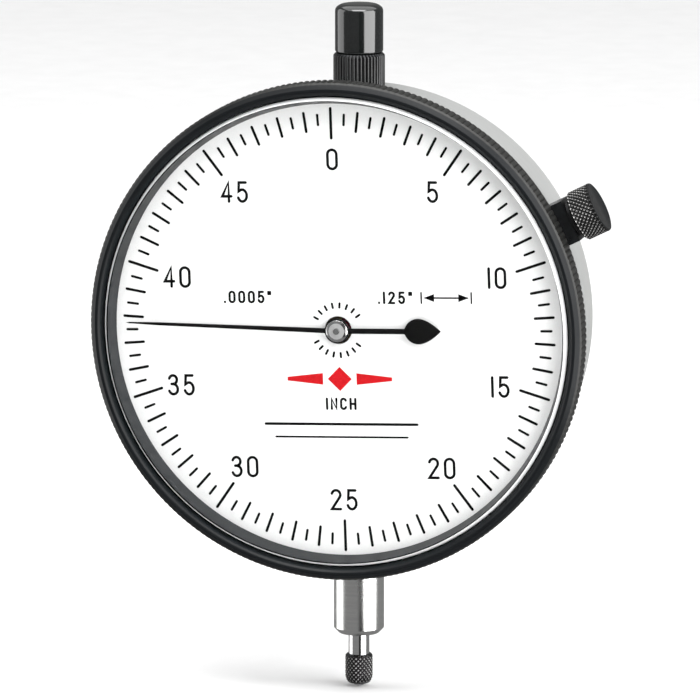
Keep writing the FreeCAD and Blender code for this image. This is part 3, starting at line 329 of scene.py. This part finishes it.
def lathe(bm, profile, axes, steps, relief=None, pick=None):
    """Turns a closed (radius, height) outline; relief(turn, radius, height) moves the radius.

    The groove layer holds how deep each point is cut; where relief gives None it is plain surface.
    """
    origin, u, v, w = axes
    groove = bm.verts.layers.float.get("groove") or bm.verts.layers.float.new("groove")
    rings = []
    for radius, height in profile:
        ring = []
        for k in range(steps):
            turn = 2 * math.pi * k / steps
            cut = relief(turn, radius, height) if relief and radius > 1e-6 else None
            r = radius + (cut or 0.0)
            vert = bm.verts.new(origin + u * (r * math.cos(turn)) + v * (r * math.sin(turn)) + w * height)
            vert[groove] = 1.0 if cut is None else -cut
            ring.append(vert)
        rings.append(ring)
    count = len(profile)
    for i in range(count):
        j = (i + 1) % count
        if profile[i][0] < 1e-6 and profile[j][0] < 1e-6:
            continue
        index = pick(profile[i], profile[j]) if pick else 0
        for k in range(steps):
            n = (k + 1) % steps
            corners = [rings[i][k], rings[i][n], rings[j][n], rings[j][k]]
            if profile[i][0] < 1e-6:
                corners = [rings[i][0], rings[j][n], rings[j][k]]
            elif profile[j][0] < 1e-6:
                corners = [rings[i][k], rings[i][n], rings[j][0]]
            face = bm.faces.new(corners)
            face.material_index = index
    loose = [vert for vert in bm.verts if not vert.link_faces]
    bmesh.ops.delete(bm, geom=loose, context="VERTS")


def turned(name, profile, axes, slot, body, replaced, radius=0.15, steps=192, relief=None,
           materials=None, pick=None, sharp=32.0):
    bm = bmesh.new()
    outline = rounded(profile, radius) if radius else profile
    lathe(bm, outline, axes, steps, relief, pick)
    return finish_mesh(name, bm, slot, body, replaced, sharp=sharp, materials=materials)


# ---------------------------------------------------------------- bezel
KNURL_FRONT = BEZEL_FRONT + 1.1
KNURL_BACK = BEZEL_FRONT + 5.8
KNURL_TEETH = 256
KNURL_DEPTH = 0.35
LIP_R = BEZEL_R - 2.5
LIP_Y = BEZEL_FRONT + 1.2
RIDGE_R = BEZEL_R - 0.9
SKIRT_R = BEZEL_R - 1.05
SKIRT_BORE = BEZEL_R - 1.85


def bezel_teeth(turn, radius, height):
    """Rounded milled notches round the rim, fading out at both ends of the band."""
    if radius < BEZEL_R - 0.3 or height > KNURL_BACK + 0.05 or height < KNURL_FRONT:
        return None
    wave = abs(math.sin(turn * KNURL_TEETH / 2))
    notch = (1 - wave) ** 1.5
    edge = min(height - KNURL_FRONT, KNURL_BACK + 0.05 - height)
    return -KNURL_DEPTH * notch * min(1.0, max(0.0, edge / 0.5))


def make_bezel():
    """Ring with a sloped front, a milled band and a skirt that reaches over the case rim."""
    profile = rounded([
        (LIP_R, LIP_Y),
        (LIP_R + 0.35, LIP_Y - 0.7),
        (RIDGE_R - 0.6, BEZEL_FRONT),
        (RIDGE_R, BEZEL_FRONT + 0.08),
    ], [0.08, 0.25, 0.2, 0.25])
    band_front = KNURL_FRONT + 0.1
    band = [(BEZEL_R - 0.35, KNURL_FRONT - 0.15), (BEZEL_R, band_front)]
    rows = 12
    for k in range(1, rows):
        band.append((BEZEL_R, band_front + (KNURL_BACK - 0.25 - band_front) * k / rows))
    band += [(BEZEL_R, KNURL_BACK - 0.25), (BEZEL_R - 0.25, KNURL_BACK)]
    rear = rounded([
        (SKIRT_R, KNURL_BACK + 0.02),
        (SKIRT_R, BEZEL_BACK),
        (SKIRT_BORE, BEZEL_BACK),
        (SKIRT_BORE, CRYSTAL_BACK - 0.6),
        (LIP_R, CRYSTAL_BACK - 0.6),
    ], [0.02, 0.15, 0.1, 0.02, 0.02])
    bm = bmesh.new()

    def pick(start, end):
        if max(start[0], end[0]) < LIP_R + 0.6:
            return 2
        return 1 if min(start[0], end[0]) > BEZEL_R - 0.36 else 0

    lathe(bm, profile + band + rear, DIAL_AXES, KNURL_TEETH * 6, bezel_teeth, pick)
    return finish_mesh("bezel_milled", bm, "black_bezel", "bezel", ("bezel_ring",), sharp=50.0,
                       materials=[FINISH["black_bezel"], BEZEL_TEETH, BLACK_EDGE])


make_bezel()


# ---------------------------------------------------------------- crystal
def make_crystal():
    """Clear lens with its bevel coloured pale as a painted highlight, over the dark cone of the spacer that
    reaches the dial.
    """
    clear_r = LIP_R - 0.75
    outer_r = LIP_R - 0.2
    bevel_y = LIP_Y + 0.1
    back = CRYSTAL_FACE + 0.45
    foot_y = DIAL_FACE - 0.12
    foot_r = LIP_R - 1.75
    head_r = LIP_R - 0.9
    profile = [(0, back), (0, CRYSTAL_FACE), (clear_r, CRYSTAL_FACE), (outer_r, bevel_y),
               (outer_r, foot_y), (foot_r, foot_y), (head_r, back)]
    materials = [FINISH["crystal_clear"], CRYSTAL_BEVEL_PAINTED_HIGHLIGHT, BLACK_EDGE, CRYSTAL_CONE]
    by_side = {(clear_r, CRYSTAL_FACE): 1, (outer_r, bevel_y): 2, (outer_r, foot_y): 2, (foot_r, foot_y): 3}

    def pick(start, end):
        return by_side.get(start, 0)

    return turned("crystal_lens", profile, DIAL_AXES, "crystal_clear", "bezel",
                  ("crystal", "crystal_spacer"), radius=0, steps=256, materials=materials, pick=pick,
                  sharp=20.0)


make_crystal()


# ---------------------------------------------------------------- dial print
def arc(cx, cy, rx, ry, start, end, steps=12):
    """Points along an ellipse arc between two angles in degrees."""
    points = []
    for k in range(steps + 1):
        angle = math.radians(start + (end - start) * k / steps)
        points.append((cx + rx * math.cos(angle), cy + ry * math.sin(angle)))
    return points


# Single-stroke figures in a cell one unit wide and TALL units high.
TALL = 2.1
GLYPHS = {
    "0": (1.0, [arc(0.5, TALL - 0.5, 0.5, 0.5, 180, 0) + arc(0.5, 0.5, 0.5, 0.5, 0, -180)
                + [(0.0, TALL - 0.5)]]),
    "1": (0.0, [[(0.0, 0.0), (0.0, TALL)]]),
    "2": (1.0, [arc(0.5, TALL - 0.5, 0.48, 0.5, 165, -35) + [(0.0, 0.0), (1.0, 0.0)]]),
    "3": (1.0, [arc(0.47, TALL - 0.48, 0.44, 0.48, 165, -90) + [(0.3, 1.14)],
                arc(0.48, 0.57, 0.5, 0.57, 90, -160)]),
    "4": (1.0, [[(0.74, 0.0), (0.74, TALL), (0.0, 0.58), (1.02, 0.58)]]),
    "5": (1.0, [[(0.9, TALL), (0.14, TALL), (0.08, 1.12)] + arc(0.48, 0.66, 0.5, 0.66, 128, -160)]),
    ".": (0.0, [[(0.0, 0.0), (0.0, 0.06)]]),
    "'": (0.45, [[(0.05, TALL), (0.05, TALL - 0.45)], [(0.4, TALL), (0.4, TALL - 0.45)]]),
    "I": (0.0, [[(0.0, 0.0), (0.0, TALL)]]),
    "N": (1.0, [[(0.0, 0.0), (0.0, TALL), (1.0, 0.0), (1.0, TALL)]]),
    "C": (1.0, [arc(0.5, TALL - 0.5, 0.5, 0.5, 15, 180) + arc(0.5, 0.5, 0.5, 0.5, 180, 345)]),
    "H": (1.0, [[(0.0, 0.0), (0.0, TALL)], [(1.0, 0.0), (1.0, TALL)], [(0.0, TALL / 2), (1.0, TALL / 2)]]),
    " ": (0.6, []),
}


def word_strokes(word, centre, height, gap=0.72):
    """Strokes of a word centred on a dial point; height is that of the figures."""
    unit = height / TALL
    width = sum(GLYPHS[c][0] for c in word) + gap * (len(word) - 1)
    x = -width / 2
    strokes = []
    for letter in word:
        advance, paths = GLYPHS[letter]
        for path in paths:
            strokes.append([
                (centre[0] + (x + px) * unit, centre[1] + (py - TALL / 2) * unit) for px, py in path
            ])
        x += advance + gap
    return strokes


INK = 0.03                  # how far the ink stands off the dial


def ribbon(bm, path, width, ends=6):
    """Flat inked stroke with round ends and a little height, following a dial path."""
    points = [Vector(p) for p in path]
    closed = (points[0] - points[-1]).length < 1e-6 and len(points) > 3
    if closed:
        points = points[:-1]
    count = len(points)
    left = []
    right = []
    for i, here in enumerate(points):
        back = points[i - 1] if i or closed else None
        ahead = points[(i + 1) % count] if i < count - 1 or closed else None
        before = (here - back).normalized() if back is not None else (ahead - here).normalized()
        after = (ahead - here).normalized() if ahead is not None else before
        way = (before + after).normalized()
        side = Vector((-way.y, way.x))
        stretch = 1.0 / max(0.5, side.dot(Vector((-before.y, before.x))))
        left.append(here + side * width / 2 * stretch)
        right.append(here - side * width / 2 * stretch)
    if closed:
        for i in range(count):
            j = (i + 1) % count
            plate(bm, [left[i], left[j], right[j], right[i]])
        return
    first = (points[1] - points[0]).normalized()
    last = (points[-1] - points[-2]).normalized()
    for i in range(count - 1):
        plate(bm, [left[i], left[i + 1], right[i + 1], right[i]])
    for centre, way in ((points[0], -first), (points[-1], last)):
        facing = math.atan2(way.y, way.x)
        cap = []
        for k in range(ends + 1):
            angle = facing - math.pi / 2 + math.pi * k / ends
            cap.append(centre + Vector((math.cos(angle), math.sin(angle))) * width / 2)
        plate(bm, cap)


def dial_point(point, y):
    """Place on the dial, turned with the bezel, from flat dial coordinates."""
    x = point[0] * math.cos(DIAL_TURN) - point[1] * math.sin(DIAL_TURN)
    z = point[0] * math.sin(DIAL_TURN) + point[1] * math.cos(DIAL_TURN)
    return Vector((x, y, DIAL_Z + z))


def plate(bm, corners):
    """Thin closed plate of ink on the dial."""
    top = [bm.verts.new(dial_point(c, DIAL_FACE - INK)) for c in corners]
    low = [bm.verts.new(dial_point(c, DIAL_FACE + 0.01)) for c in corners]
    bm.faces.new(top)
    bm.faces.new(list(reversed(low)))
    count = len(corners)
    for i in range(count):
        j = (i + 1) % count
        bm.faces.new([top[i], low[i], low[j], top[j]])


def ink_piece(name, bm, material):
    mesh = bpy.data.meshes.new(name)
    bmesh.ops.recalc_face_normals(bm, faces=bm.faces)
    bm.to_mesh(mesh)
    bm.free()
    mesh.transform(Matrix.Scale(MM, 4))
    mesh.materials.append(material)
    piece = bpy.data.objects.new(name, mesh)
    bpy.context.collection.objects.link(piece)
    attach(piece, "bezel")
    return piece


# middle radius, length and width of the long, medium and short graduations
MARKS = {"long": (38.85, 6.1, 0.52), "medium": (39.3, 4.0, 0.50), "short": (39.55, 2.35, 0.46)}
MARK_COUNT = 100
FIGURE_RING = 32.1
FIGURE_HEIGHT = 3.58
FIGURE_STROKE = 0.52
FIGURE_GAP = 0.78
SIDE_DROP = {3: 0.6, 7: 0.6}


def make_graduations():
    bm = bmesh.new()
    for k in range(MARK_COUNT):
        kind = "long" if k % 10 == 0 else "medium" if k % 2 == 0 else "short"
        middle, length, width = MARKS[kind]
        angle = math.radians(90 - 360 * k / MARK_COUNT)
        way = Vector((math.cos(angle), math.sin(angle)))
        reach = (length - width) / 2
        ribbon(bm, [way * (middle - reach), way * (middle + reach)], width)
    return ink_piece("dial_graduations", bm, PRINT_BLACK)


def make_figures():
    bm = bmesh.new()
    for step in range(10):
        angle = math.radians(90 - 36 * step)
        centre = (FIGURE_RING * math.cos(angle), FIGURE_RING * math.sin(angle) - SIDE_DROP.get(step, 0.0))
        for stroke in word_strokes(str(step * 5), centre, FIGURE_HEIGHT, FIGURE_GAP):
            ribbon(bm, stroke, FIGURE_STROKE)
    return ink_piece("dial_figures", bm, PRINT_BLACK)


SMALL_STROKE = 0.44
HUB_BARS_R = 4.7            # rings of short bars round the hub
HUB_BARS = 8
HUB_BAR_STEP = 16.6
# word, middle, height and gap between letters
SMALL_WORDS = (
    (".0005'", (-17.1, 6.2), 1.95, 1.0),
    (".125'", (11.1, 6.15), 1.95, 1.05),
    ("INCH", (0.1, -13.9), 1.9, 1.0),
)


def range_arrow(bm, x, z, half):
    """Double-headed arrow that stands for the measuring range."""
    ribbon(bm, [(x - half, z), (x + half, z)], 0.3)
    for side in (-1, 1):
        end = x + side * half
        plate(bm, [(end + side * 0.3, z), (end - side * 1.7, z + 0.75), (end - side * 1.7, z - 0.75)])
        ribbon(bm, [(end + side * 0.75, z - 1.0), (end + side * 0.75, z + 1.0)], 0.3)


def make_small_print():
    bm = bmesh.new()
    for word, centre, height, gap in SMALL_WORDS:
        for stroke in word_strokes(word, centre, height, gap):
            ribbon(bm, stroke, SMALL_STROKE)
    range_arrow(bm, 20.8, 6.15, 4.0)
    for first in (35, 208):
        for k in range(HUB_BARS):
            angle = math.radians(first + HUB_BAR_STEP * k)
            way = Vector((math.cos(angle), math.sin(angle)))
            ribbon(bm, [way * (HUB_BARS_R - 0.4), way * (HUB_BARS_R + 0.4)], 0.42)
    for z, half, width in ((-17.75, 14.5, 0.5), (-20.2, 12.6, 0.36)):
        ribbon(bm, [(-half, z), (half, z)], width)
    return ink_piece("dial_small_print", bm, PRINT_BLACK)


def make_red_mark():
    """Plain diamond between two tapered bars."""
    bm = bmesh.new()
    z = -9.2
    plate(bm, [(-2.3, z), (0, z + 2.3), (2.3, z), (0, z - 2.3)])
    for side in (-1, 1):
        near = side * 3.2
        far = side * 10.0
        plate(bm, [(near, z + 1.1), (far, z + 0.35), (far, z - 0.35), (near, z - 1.1)])
    return ink_piece("dial_red_mark", bm, PRINT_RED)


make_graduations()
make_figures()
make_small_print()
make_red_mark()


def make_dial():
    """White disc with a softly turned-down edge round its rim."""
    hole_r = 2.6
    profile = [(hole_r, DIAL_FACE), (DIAL_R, DIAL_FACE), (DIAL_R, DIAL_BACK), (hole_r, DIAL_BACK)]
    return turned("dial_disc", profile, DIAL_AXES, "dial_white", "bezel", ("dial_face",), radius=0.06,
                  steps=256)


make_dial()


# ---------------------------------------------------------------- hand and hub
HAND_THICK = 0.2
TAIL_LIFT = math.radians(2.0)
BAR_HALF = 0.5
SPADE_ROOT = 12.9
SPADE_END = 19.8
SPADE_DRAWN = 16            # beyond this the edge may be narrower than the bar
RING_BORE = 1.03
RING_R = 2.32


def spade_half(length_start, length_end, widest, half, steps=26):
    """Upper edge of the spade: round at the root, drawn out to a point."""
    points = []
    for k in range(steps + 1):
        t = k / steps
        x = length_start + (length_end - length_start) * t
        if t < widest:
            s = (widest - t) / widest
            z = half * math.sqrt(max(0.0, 1 - s * s))
        else:
            s = (t - widest) / (1 - widest)
            z = half * (1 - s ** 1.75)
        points.append((x, z))
    return points


def hand_plate(bm, half, lift):
    """Thin plate symmetric about its own centre line, from its upper edge."""
    edge = half + [(x, -z) for x, z in reversed(half) if abs(z) > 1e-6]
    rows = []
    for y, inset in ((HAND_Y, 0.06), (HAND_Y + 0.05, 0.0), (HAND_Y + HAND_THICK, 0.0)):
        row = []
        for x, z in edge:
            slim = math.copysign(max(0.0, abs(z) - inset), z)
            px = x * math.cos(lift) - slim * math.sin(lift)
            pz = x * math.sin(lift) + slim * math.cos(lift)
            row.append(bm.verts.new((px, y, DIAL_Z + pz)))
        rows.append(row)
    count = len(edge)
    bm.faces.new(rows[0])
    bm.faces.new(list(reversed(rows[-1])))
    for a, b in zip(rows, rows[1:]):
        for i in range(count):
            j = (i + 1) % count
            bm.faces.new([a[i], b[i], b[j], a[j]])


def make_hand():
    """Tapered pointer, straight bar with a spade tail, and the ring that joins them."""
    bm = bmesh.new()
    pointer = [(-HAND_TIP, 0.0), (-HAND_TIP + 0.6, 0.13), (-HAND_TIP + 6, 0.28), (-1.0, 0.48)]
    hand_plate(bm, pointer, 0)
    tail = [(1.0, BAR_HALF), (SPADE_ROOT - 0.05, BAR_HALF)]
    for x, z in spade_half(SPADE_ROOT, SPADE_END, widest=0.38, half=2.4):
        if z > BAR_HALF or x > SPADE_DRAWN:
            tail.append((x, z))
    hand_plate(bm, tail, TAIL_LIFT)
    front = HAND_Y - 0.04
    back = HAND_Y + 0.25
    ring = rounded([(RING_BORE, front), (RING_R, front), (RING_R, back), (RING_BORE, back)], 0.06)
    lathe(bm, ring, DIAL_AXES, 96)
    return finish_mesh("hand_pointer", bm, "hand_black", "centre_arbor", ("hand",), sharp=40.0)


HUB_BORE = 0.58
HUB_FLAT_R = 1.5
HUB_R = 2.05
SPIGOT_R = 1.0


def make_hub():
    """Satin flat centre inside one broad polished chamfer."""
    front = HAND_Y - 0.35
    seat = HAND_Y - 0.06
    foot = HAND_Y + 1.1
    profile = [
        (HUB_BORE, front), (HUB_FLAT_R, front), (HUB_R, front + 0.25), (HUB_R, seat), (SPIGOT_R, seat),
        (SPIGOT_R, foot), (HUB_BORE, foot),
    ]

    def pick(start, end):
        flat = max(start[0], end[0]) <= HUB_FLAT_R and max(start[1], end[1]) < HAND_Y - 0.2
        return 1 if flat else 0

    return turned("hand_hub_cap", profile, DIAL_AXES, "polished_steel", "centre_arbor", ("hand_hub",),
                  radius=0.03, steps=96, materials=[FINISH["polished_steel"], HUB_SATIN], pick=pick)


make_hand()
make_hub()


# ---------------------------------------------------------------- turned parts on the spindle line
def fold(value):
    """Triangle wave from 0 to 1."""
    return abs((value % 2.0) - 1.0)


def diamond(turns, pitch, depth, low, high, limit):
    """Diamond knurl: pyramids between two crossing sets of grooves, over a height range."""
    def relief(turn, radius, height):
        fade = min(1.0, (height - low) / 0.25, (high - height) / 0.25)
        if radius < limit or fade < 0.3:
            return None
        around = turn * turns / math.pi
        along = 2 * height / pitch
        bite = 1.0 - min(fold(around + along), fold(around - along))
        return -depth * max(0.0, bite) * fade
    return relief


CONTACT_NECK = 4.3          # from the spindle's end to the foot of the straight knurl
STUD_R = 1.05


def make_contact():
    """Knurled contact point, drawn in at its lower end round the tip."""
    stud_top = box_mm("contact_point")[1].z - 0.1
    top = box_mm("spindle")[0].z
    radius = half_width("contact_point")
    rim = top - 0.4
    knurl_low = top - CONTACT_NECK + 0.3
    foot = top - CONTACT_NECK - 0.52
    body = [
        (0, stud_top), (STUD_R, stud_top), (STUD_R, top - 0.05), (radius - 0.35, top - 0.05), (radius, rim),
    ]
    rows = 36
    for k in range(1, rows + 1):
        body.append((radius, rim - (rim - knurl_low) * k / rows))
    for k in range(1, 13):
        angle = math.pi / 2 * k / 16
        body.append((radius - 1.15 + 1.15 * math.cos(angle), knurl_low - 1.75 * math.sin(angle)))
    body += [(1.5, knurl_low - 1.7), (1.5, foot), (0, foot)]
    relief = diamond(turns=20, pitch=0.88, depth=0.24, low=knurl_low - 1.5, high=top - 0.2, limit=1.9)
    turned("contact_knurled", body, SPINDLE_AXES, "black_oxide", "spindle", ("contact_point",), radius=0,
           steps=480, relief=relief, materials=[CONTACT_KNURL], sharp=60.0)


def make_tip():
    """Polished dome that stands out of the contact point."""
    low, high = box_mm("contact_tip")
    reach = half_width("contact_tip")
    dome = [(0, high.z), (reach * 0.98, high.z)]
    for k in range(13):
        angle = math.pi / 2 * k / 12
        dome.append((reach * math.cos(angle), low.z + reach - reach * math.sin(angle)))
    turned("contact_tip_polished", dome, SPINDLE_AXES, "tip_steel", "spindle", ("contact_tip",), radius=0,
           steps=96)


def make_stem():
    """Ground stem with a chamfered foot and the tenon that goes up into the case."""
    low, high = box_mm("lower_stem")
    radius = half_width("lower_stem")
    wall_low = low.z + 1.0
    wall_high = -wall_low
    bore = 3.2
    tenon = 4.0
    profile = [
        (bore, low.z), (radius - 0.95, low.z), (radius, wall_low), (radius, wall_high),
        (tenon, wall_high), (tenon, high.z), (bore, high.z),
    ]
    turned("stem_ground", profile, SPINDLE_AXES, "ground_steel", "case", ("lower_stem",), radius=0.12,
           steps=160)


COLLAR_SHOULDER = 94.85     # where the collar meets the case
COLLAR_TEETH = 42
COLLAR_BORE = 2.6
COLLAR_TENON = 3.6
CAP_SPIGOT = 3.3


def make_collar():
    """Collar with straight serrations between two plain edges."""
    low, high = box_mm("upper_collar")
    radius = half_width("upper_collar")
    seat = box_mm("dust_cap")[0].z

    def serration(turn, r, height):
        if r < radius - 0.2 or height < COLLAR_SHOULDER + 0.3 or height > seat - 0.2:
            return None
        return -0.3 * (1 - abs(math.sin(turn * COLLAR_TEETH / 2))) ** 1.2

    profile = [
        (COLLAR_BORE, low.z), (COLLAR_TENON, low.z), (COLLAR_TENON, COLLAR_SHOULDER),
        (radius - 0.15, COLLAR_SHOULDER), (radius, COLLAR_SHOULDER + 0.2), (radius, COLLAR_SHOULDER + 0.45),
        (radius, seat - 0.75), (radius - 0.02, seat - 0.45), (radius - 0.45, seat - 0.02),
        (CAP_SPIGOT, seat - 0.02), (CAP_SPIGOT, high.z), (COLLAR_BORE, high.z),
    ]
    turned("collar_serrated", profile, SPINDLE_AXES, "black_collar", "case", ("upper_collar",), radius=0,
           steps=COLLAR_TEETH * 10, relief=serration, sharp=45.0)


def make_cap():
    """Hollow cap with a domed top."""
    low, high = box_mm("dust_cap")
    radius = half_width("dust_cap")
    bore = CAP_SPIGOT + 0.02
    shell = [
        (bore, low.z), (radius - 0.35, low.z), (radius, low.z + 0.35), (radius, high.z - 0.9),
        (radius - 1.1, high.z - 0.16), (0, high.z), (0, high.z - 1.4), (2.8, high.z - 1.6),
        (2.8, low.z + 3.3), (bore, low.z + 3.3),
    ]
    turned("cap_domed", shell, SPINDLE_AXES, "gloss_black", "case", ("dust_cap",),
           radius=[0.05, 0.15, 0.15, 0.7, 0.9, 0, 0, 0.1, 0.1, 0.1], steps=160)


make_contact()
make_tip()
make_stem()
make_collar()
make_cap()


# ---------------------------------------------------------------- clamp knob
KNOB_LOW = 49.82            # the knob's two ends, from the middle of the dial
KNOB_HIGH = 54.3


def make_knob():
    """Knurled knob with a shallow recess in its outer face."""
    edge = 0.45
    foot = KNOB_LOW + 0.3
    recess = KNOB_HIGH - 0.1
    body = [(0, KNOB_LOW), (KNOB_R - 0.3, KNOB_LOW), (KNOB_R, foot)]
    rows = 44
    for k in range(1, rows + 1):
        body.append((KNOB_R, foot + (KNOB_HIGH - KNOB_LOW - 0.3 - edge) * k / rows))
    body += [
        (KNOB_R - 0.12, KNOB_HIGH - 0.12), (KNOB_R - 0.4, KNOB_HIGH), (KNOB_R - 0.6, KNOB_HIGH),
        (KNOB_R - 0.75, recess), (0, recess),
    ]
    relief = diamond(turns=34, pitch=0.92, depth=0.28, low=KNOB_LOW + 0.15, high=KNOB_HIGH - 0.2,
                     limit=KNOB_R - 0.2)

    def pick(start, end):
        return 1 if min(start[0], end[0]) > KNOB_R - 0.5 else 0

    turned("clamp_knob_knurled", body, CLAMP_AXES, "black_clamp", "clamp_screw", ("clamp_knob",), radius=0,
           steps=680, relief=relief, materials=[FINISH["black_clamp"], KNOB_KNURL], pick=pick, sharp=60.0)


make_knob()


# ---------------------------------------------------------------- case body
def soften_cad(node, width=0.15):
    """Small rounded edges on a CAD piece that stays."""
    piece = frame["nodes"][node]
    bevel = piece.modifiers.new("edge", "BEVEL")
    bevel.width = width * MM
    bevel.segments = 3
    bevel.limit_method = "ANGLE"
    bevel.angle_limit = math.radians(40)
    bevel.harden_normals = False


for softened in ("clamp_block", "back_lug", "back_cover"):
    soften_cad(softened)


# ---------------------------------------------------------------- stage, light and camera
CAMERA_AZIMUTH = math.radians(13.25)
CAMERA_ELEVATION = math.radians(10.27)
CAMERA_DISTANCE = 1364.6
LOOK = Vector((0, LIP_Y, DIAL_Z))
OFFSET_RIGHT = 2.88
OFFSET_UP = -3.17
LENS = 378.4
SENSOR = 36.0


def make_camera():
    az = CAMERA_AZIMUTH
    el = CAMERA_ELEVATION
    back = Vector((math.sin(az) * math.cos(el), -math.cos(az) * math.cos(el), math.sin(el)))
    right = Vector((math.cos(az), math.sin(az), 0))
    up = back.cross(right)
    place = LOOK + back * CAMERA_DISTANCE + right * OFFSET_RIGHT + up * OFFSET_UP
    data = bpy.data.cameras.new("camera")
    data.lens = LENS
    data.sensor_width = SENSOR
    data.clip_start = 0.05
    data.clip_end = 20
    camera = bpy.data.objects.new("camera", data)
    turn = Matrix((right, up, back)).transposed().to_4x4()
    camera.matrix_world = Matrix.Translation(place * MM) @ turn
    bpy.context.collection.objects.link(camera)
    bpy.context.scene.camera = camera


def make_floor():
    low = cad_box[0][2]
    half = 6.0
    corners = [(-half, -half, low), (half, -half, low), (half, half, low), (-half, half, low)]
    mesh = bpy.data.meshes.new("floor")
    mesh.from_pydata(corners, [], [(0, 1, 2, 3)])
    material, nodes, links, shader = new_material("floor_paper")
    fibre = noise(nodes, links, object_coords(nodes, links, (1, 1, 1)), 120)
    links.new(tint(nodes, links, fibre, (0.90, 0.90, 0.90), (0.93, 0.93, 0.93)), shader.inputs["Base Color"])
    shader.inputs["Roughness"].default_value = 0.8
    mesh.materials.append(material)
    floor = bpy.data.objects.new("floor", mesh)
    bpy.context.collection.objects.link(floor)
    floor.visible_glossy = False


def around(azimuth, elevation, distance):
    """Place round the object: azimuth 0 is in front of the dial and grows to its right."""
    az = math.radians(azimuth)
    el = math.radians(elevation)
    return Vector((math.sin(az) * math.cos(el), -math.cos(az) * math.cos(el), math.sin(el))) * distance


def softbox(name, azimuth, elevation, distance, width, height, radiance):
    """Rectangular light that faces the middle of the object."""
    data = bpy.data.lights.new(name, "AREA")
    data.shape = "RECTANGLE"
    data.size = width
    data.size_y = height
    data.energy = radiance * math.pi * width * height
    light = bpy.data.objects.new(name, data)
    way = around(azimuth, elevation, distance)
    light.location = way + CENTRE * MM
    light.rotation_euler = (-way).to_track_quat("-Z", "Y").to_euler()
    light.visible_camera = False
    bpy.context.collection.objects.link(light)


def make_dark_card():
    """Black card beside the camera, seen only in the reflections of polished metal."""
    mesh = bpy.data.meshes.new("dark_card")
    half = 0.12
    foot = -0.45
    head = 0.35
    corners = [(-half, foot, 0), (half, foot, 0), (half, head, 0), (-half, head, 0)]
    mesh.from_pydata(corners, [], [(0, 1, 2, 3)])
    material, nodes, links, shader = new_material("card_black")
    fibre = noise(nodes, links, object_coords(nodes, links, (1, 1, 1)), 40)
    speckled = tint(nodes, links, fibre, (0.01, 0.01, 0.01), (0.015, 0.015, 0.015))
    links.new(speckled, shader.inputs["Base Color"])
    shader.inputs["Roughness"].default_value = 0.9
    mesh.materials.append(material)
    card = bpy.data.objects.new("dark_card", mesh)
    way = around(24, 0, 0.6)
    card.location = way + CENTRE * MM
    card.rotation_euler = (-way).to_track_quat("-Z", "Y").to_euler()
    for ray in ("camera", "diffuse", "transmission", "shadow"):
        setattr(card, "visible_" + ray, False)
    bpy.context.collection.objects.link(card)


def make_light():
    softbox("key", azimuth=66, elevation=8, distance=0.55, width=0.6, height=0.8, radiance=5.0)
    softbox("rim", azimuth=-88, elevation=5, distance=0.6, width=0.5, height=0.8, radiance=1.8)
    softbox("top", azimuth=10, elevation=62, distance=0.7, width=0.6, height=0.35, radiance=6.0)
    softbox("ceiling", azimuth=180, elevation=88, distance=1.8, width=3.2, height=3.2, radiance=1.62)
    world = bpy.data.worlds.new("studio")
    world.use_nodes = True
    background = world.node_tree.nodes["Background"]
    background.inputs["Color"].default_value = (1, 1, 1, 1)
    background.inputs["Strength"].default_value = 0.22
    bpy.context.scene.world = world


make_camera()
make_floor()
make_dark_card()
make_light()
bpy.context.scene.view_settings.view_transform = "Standard"
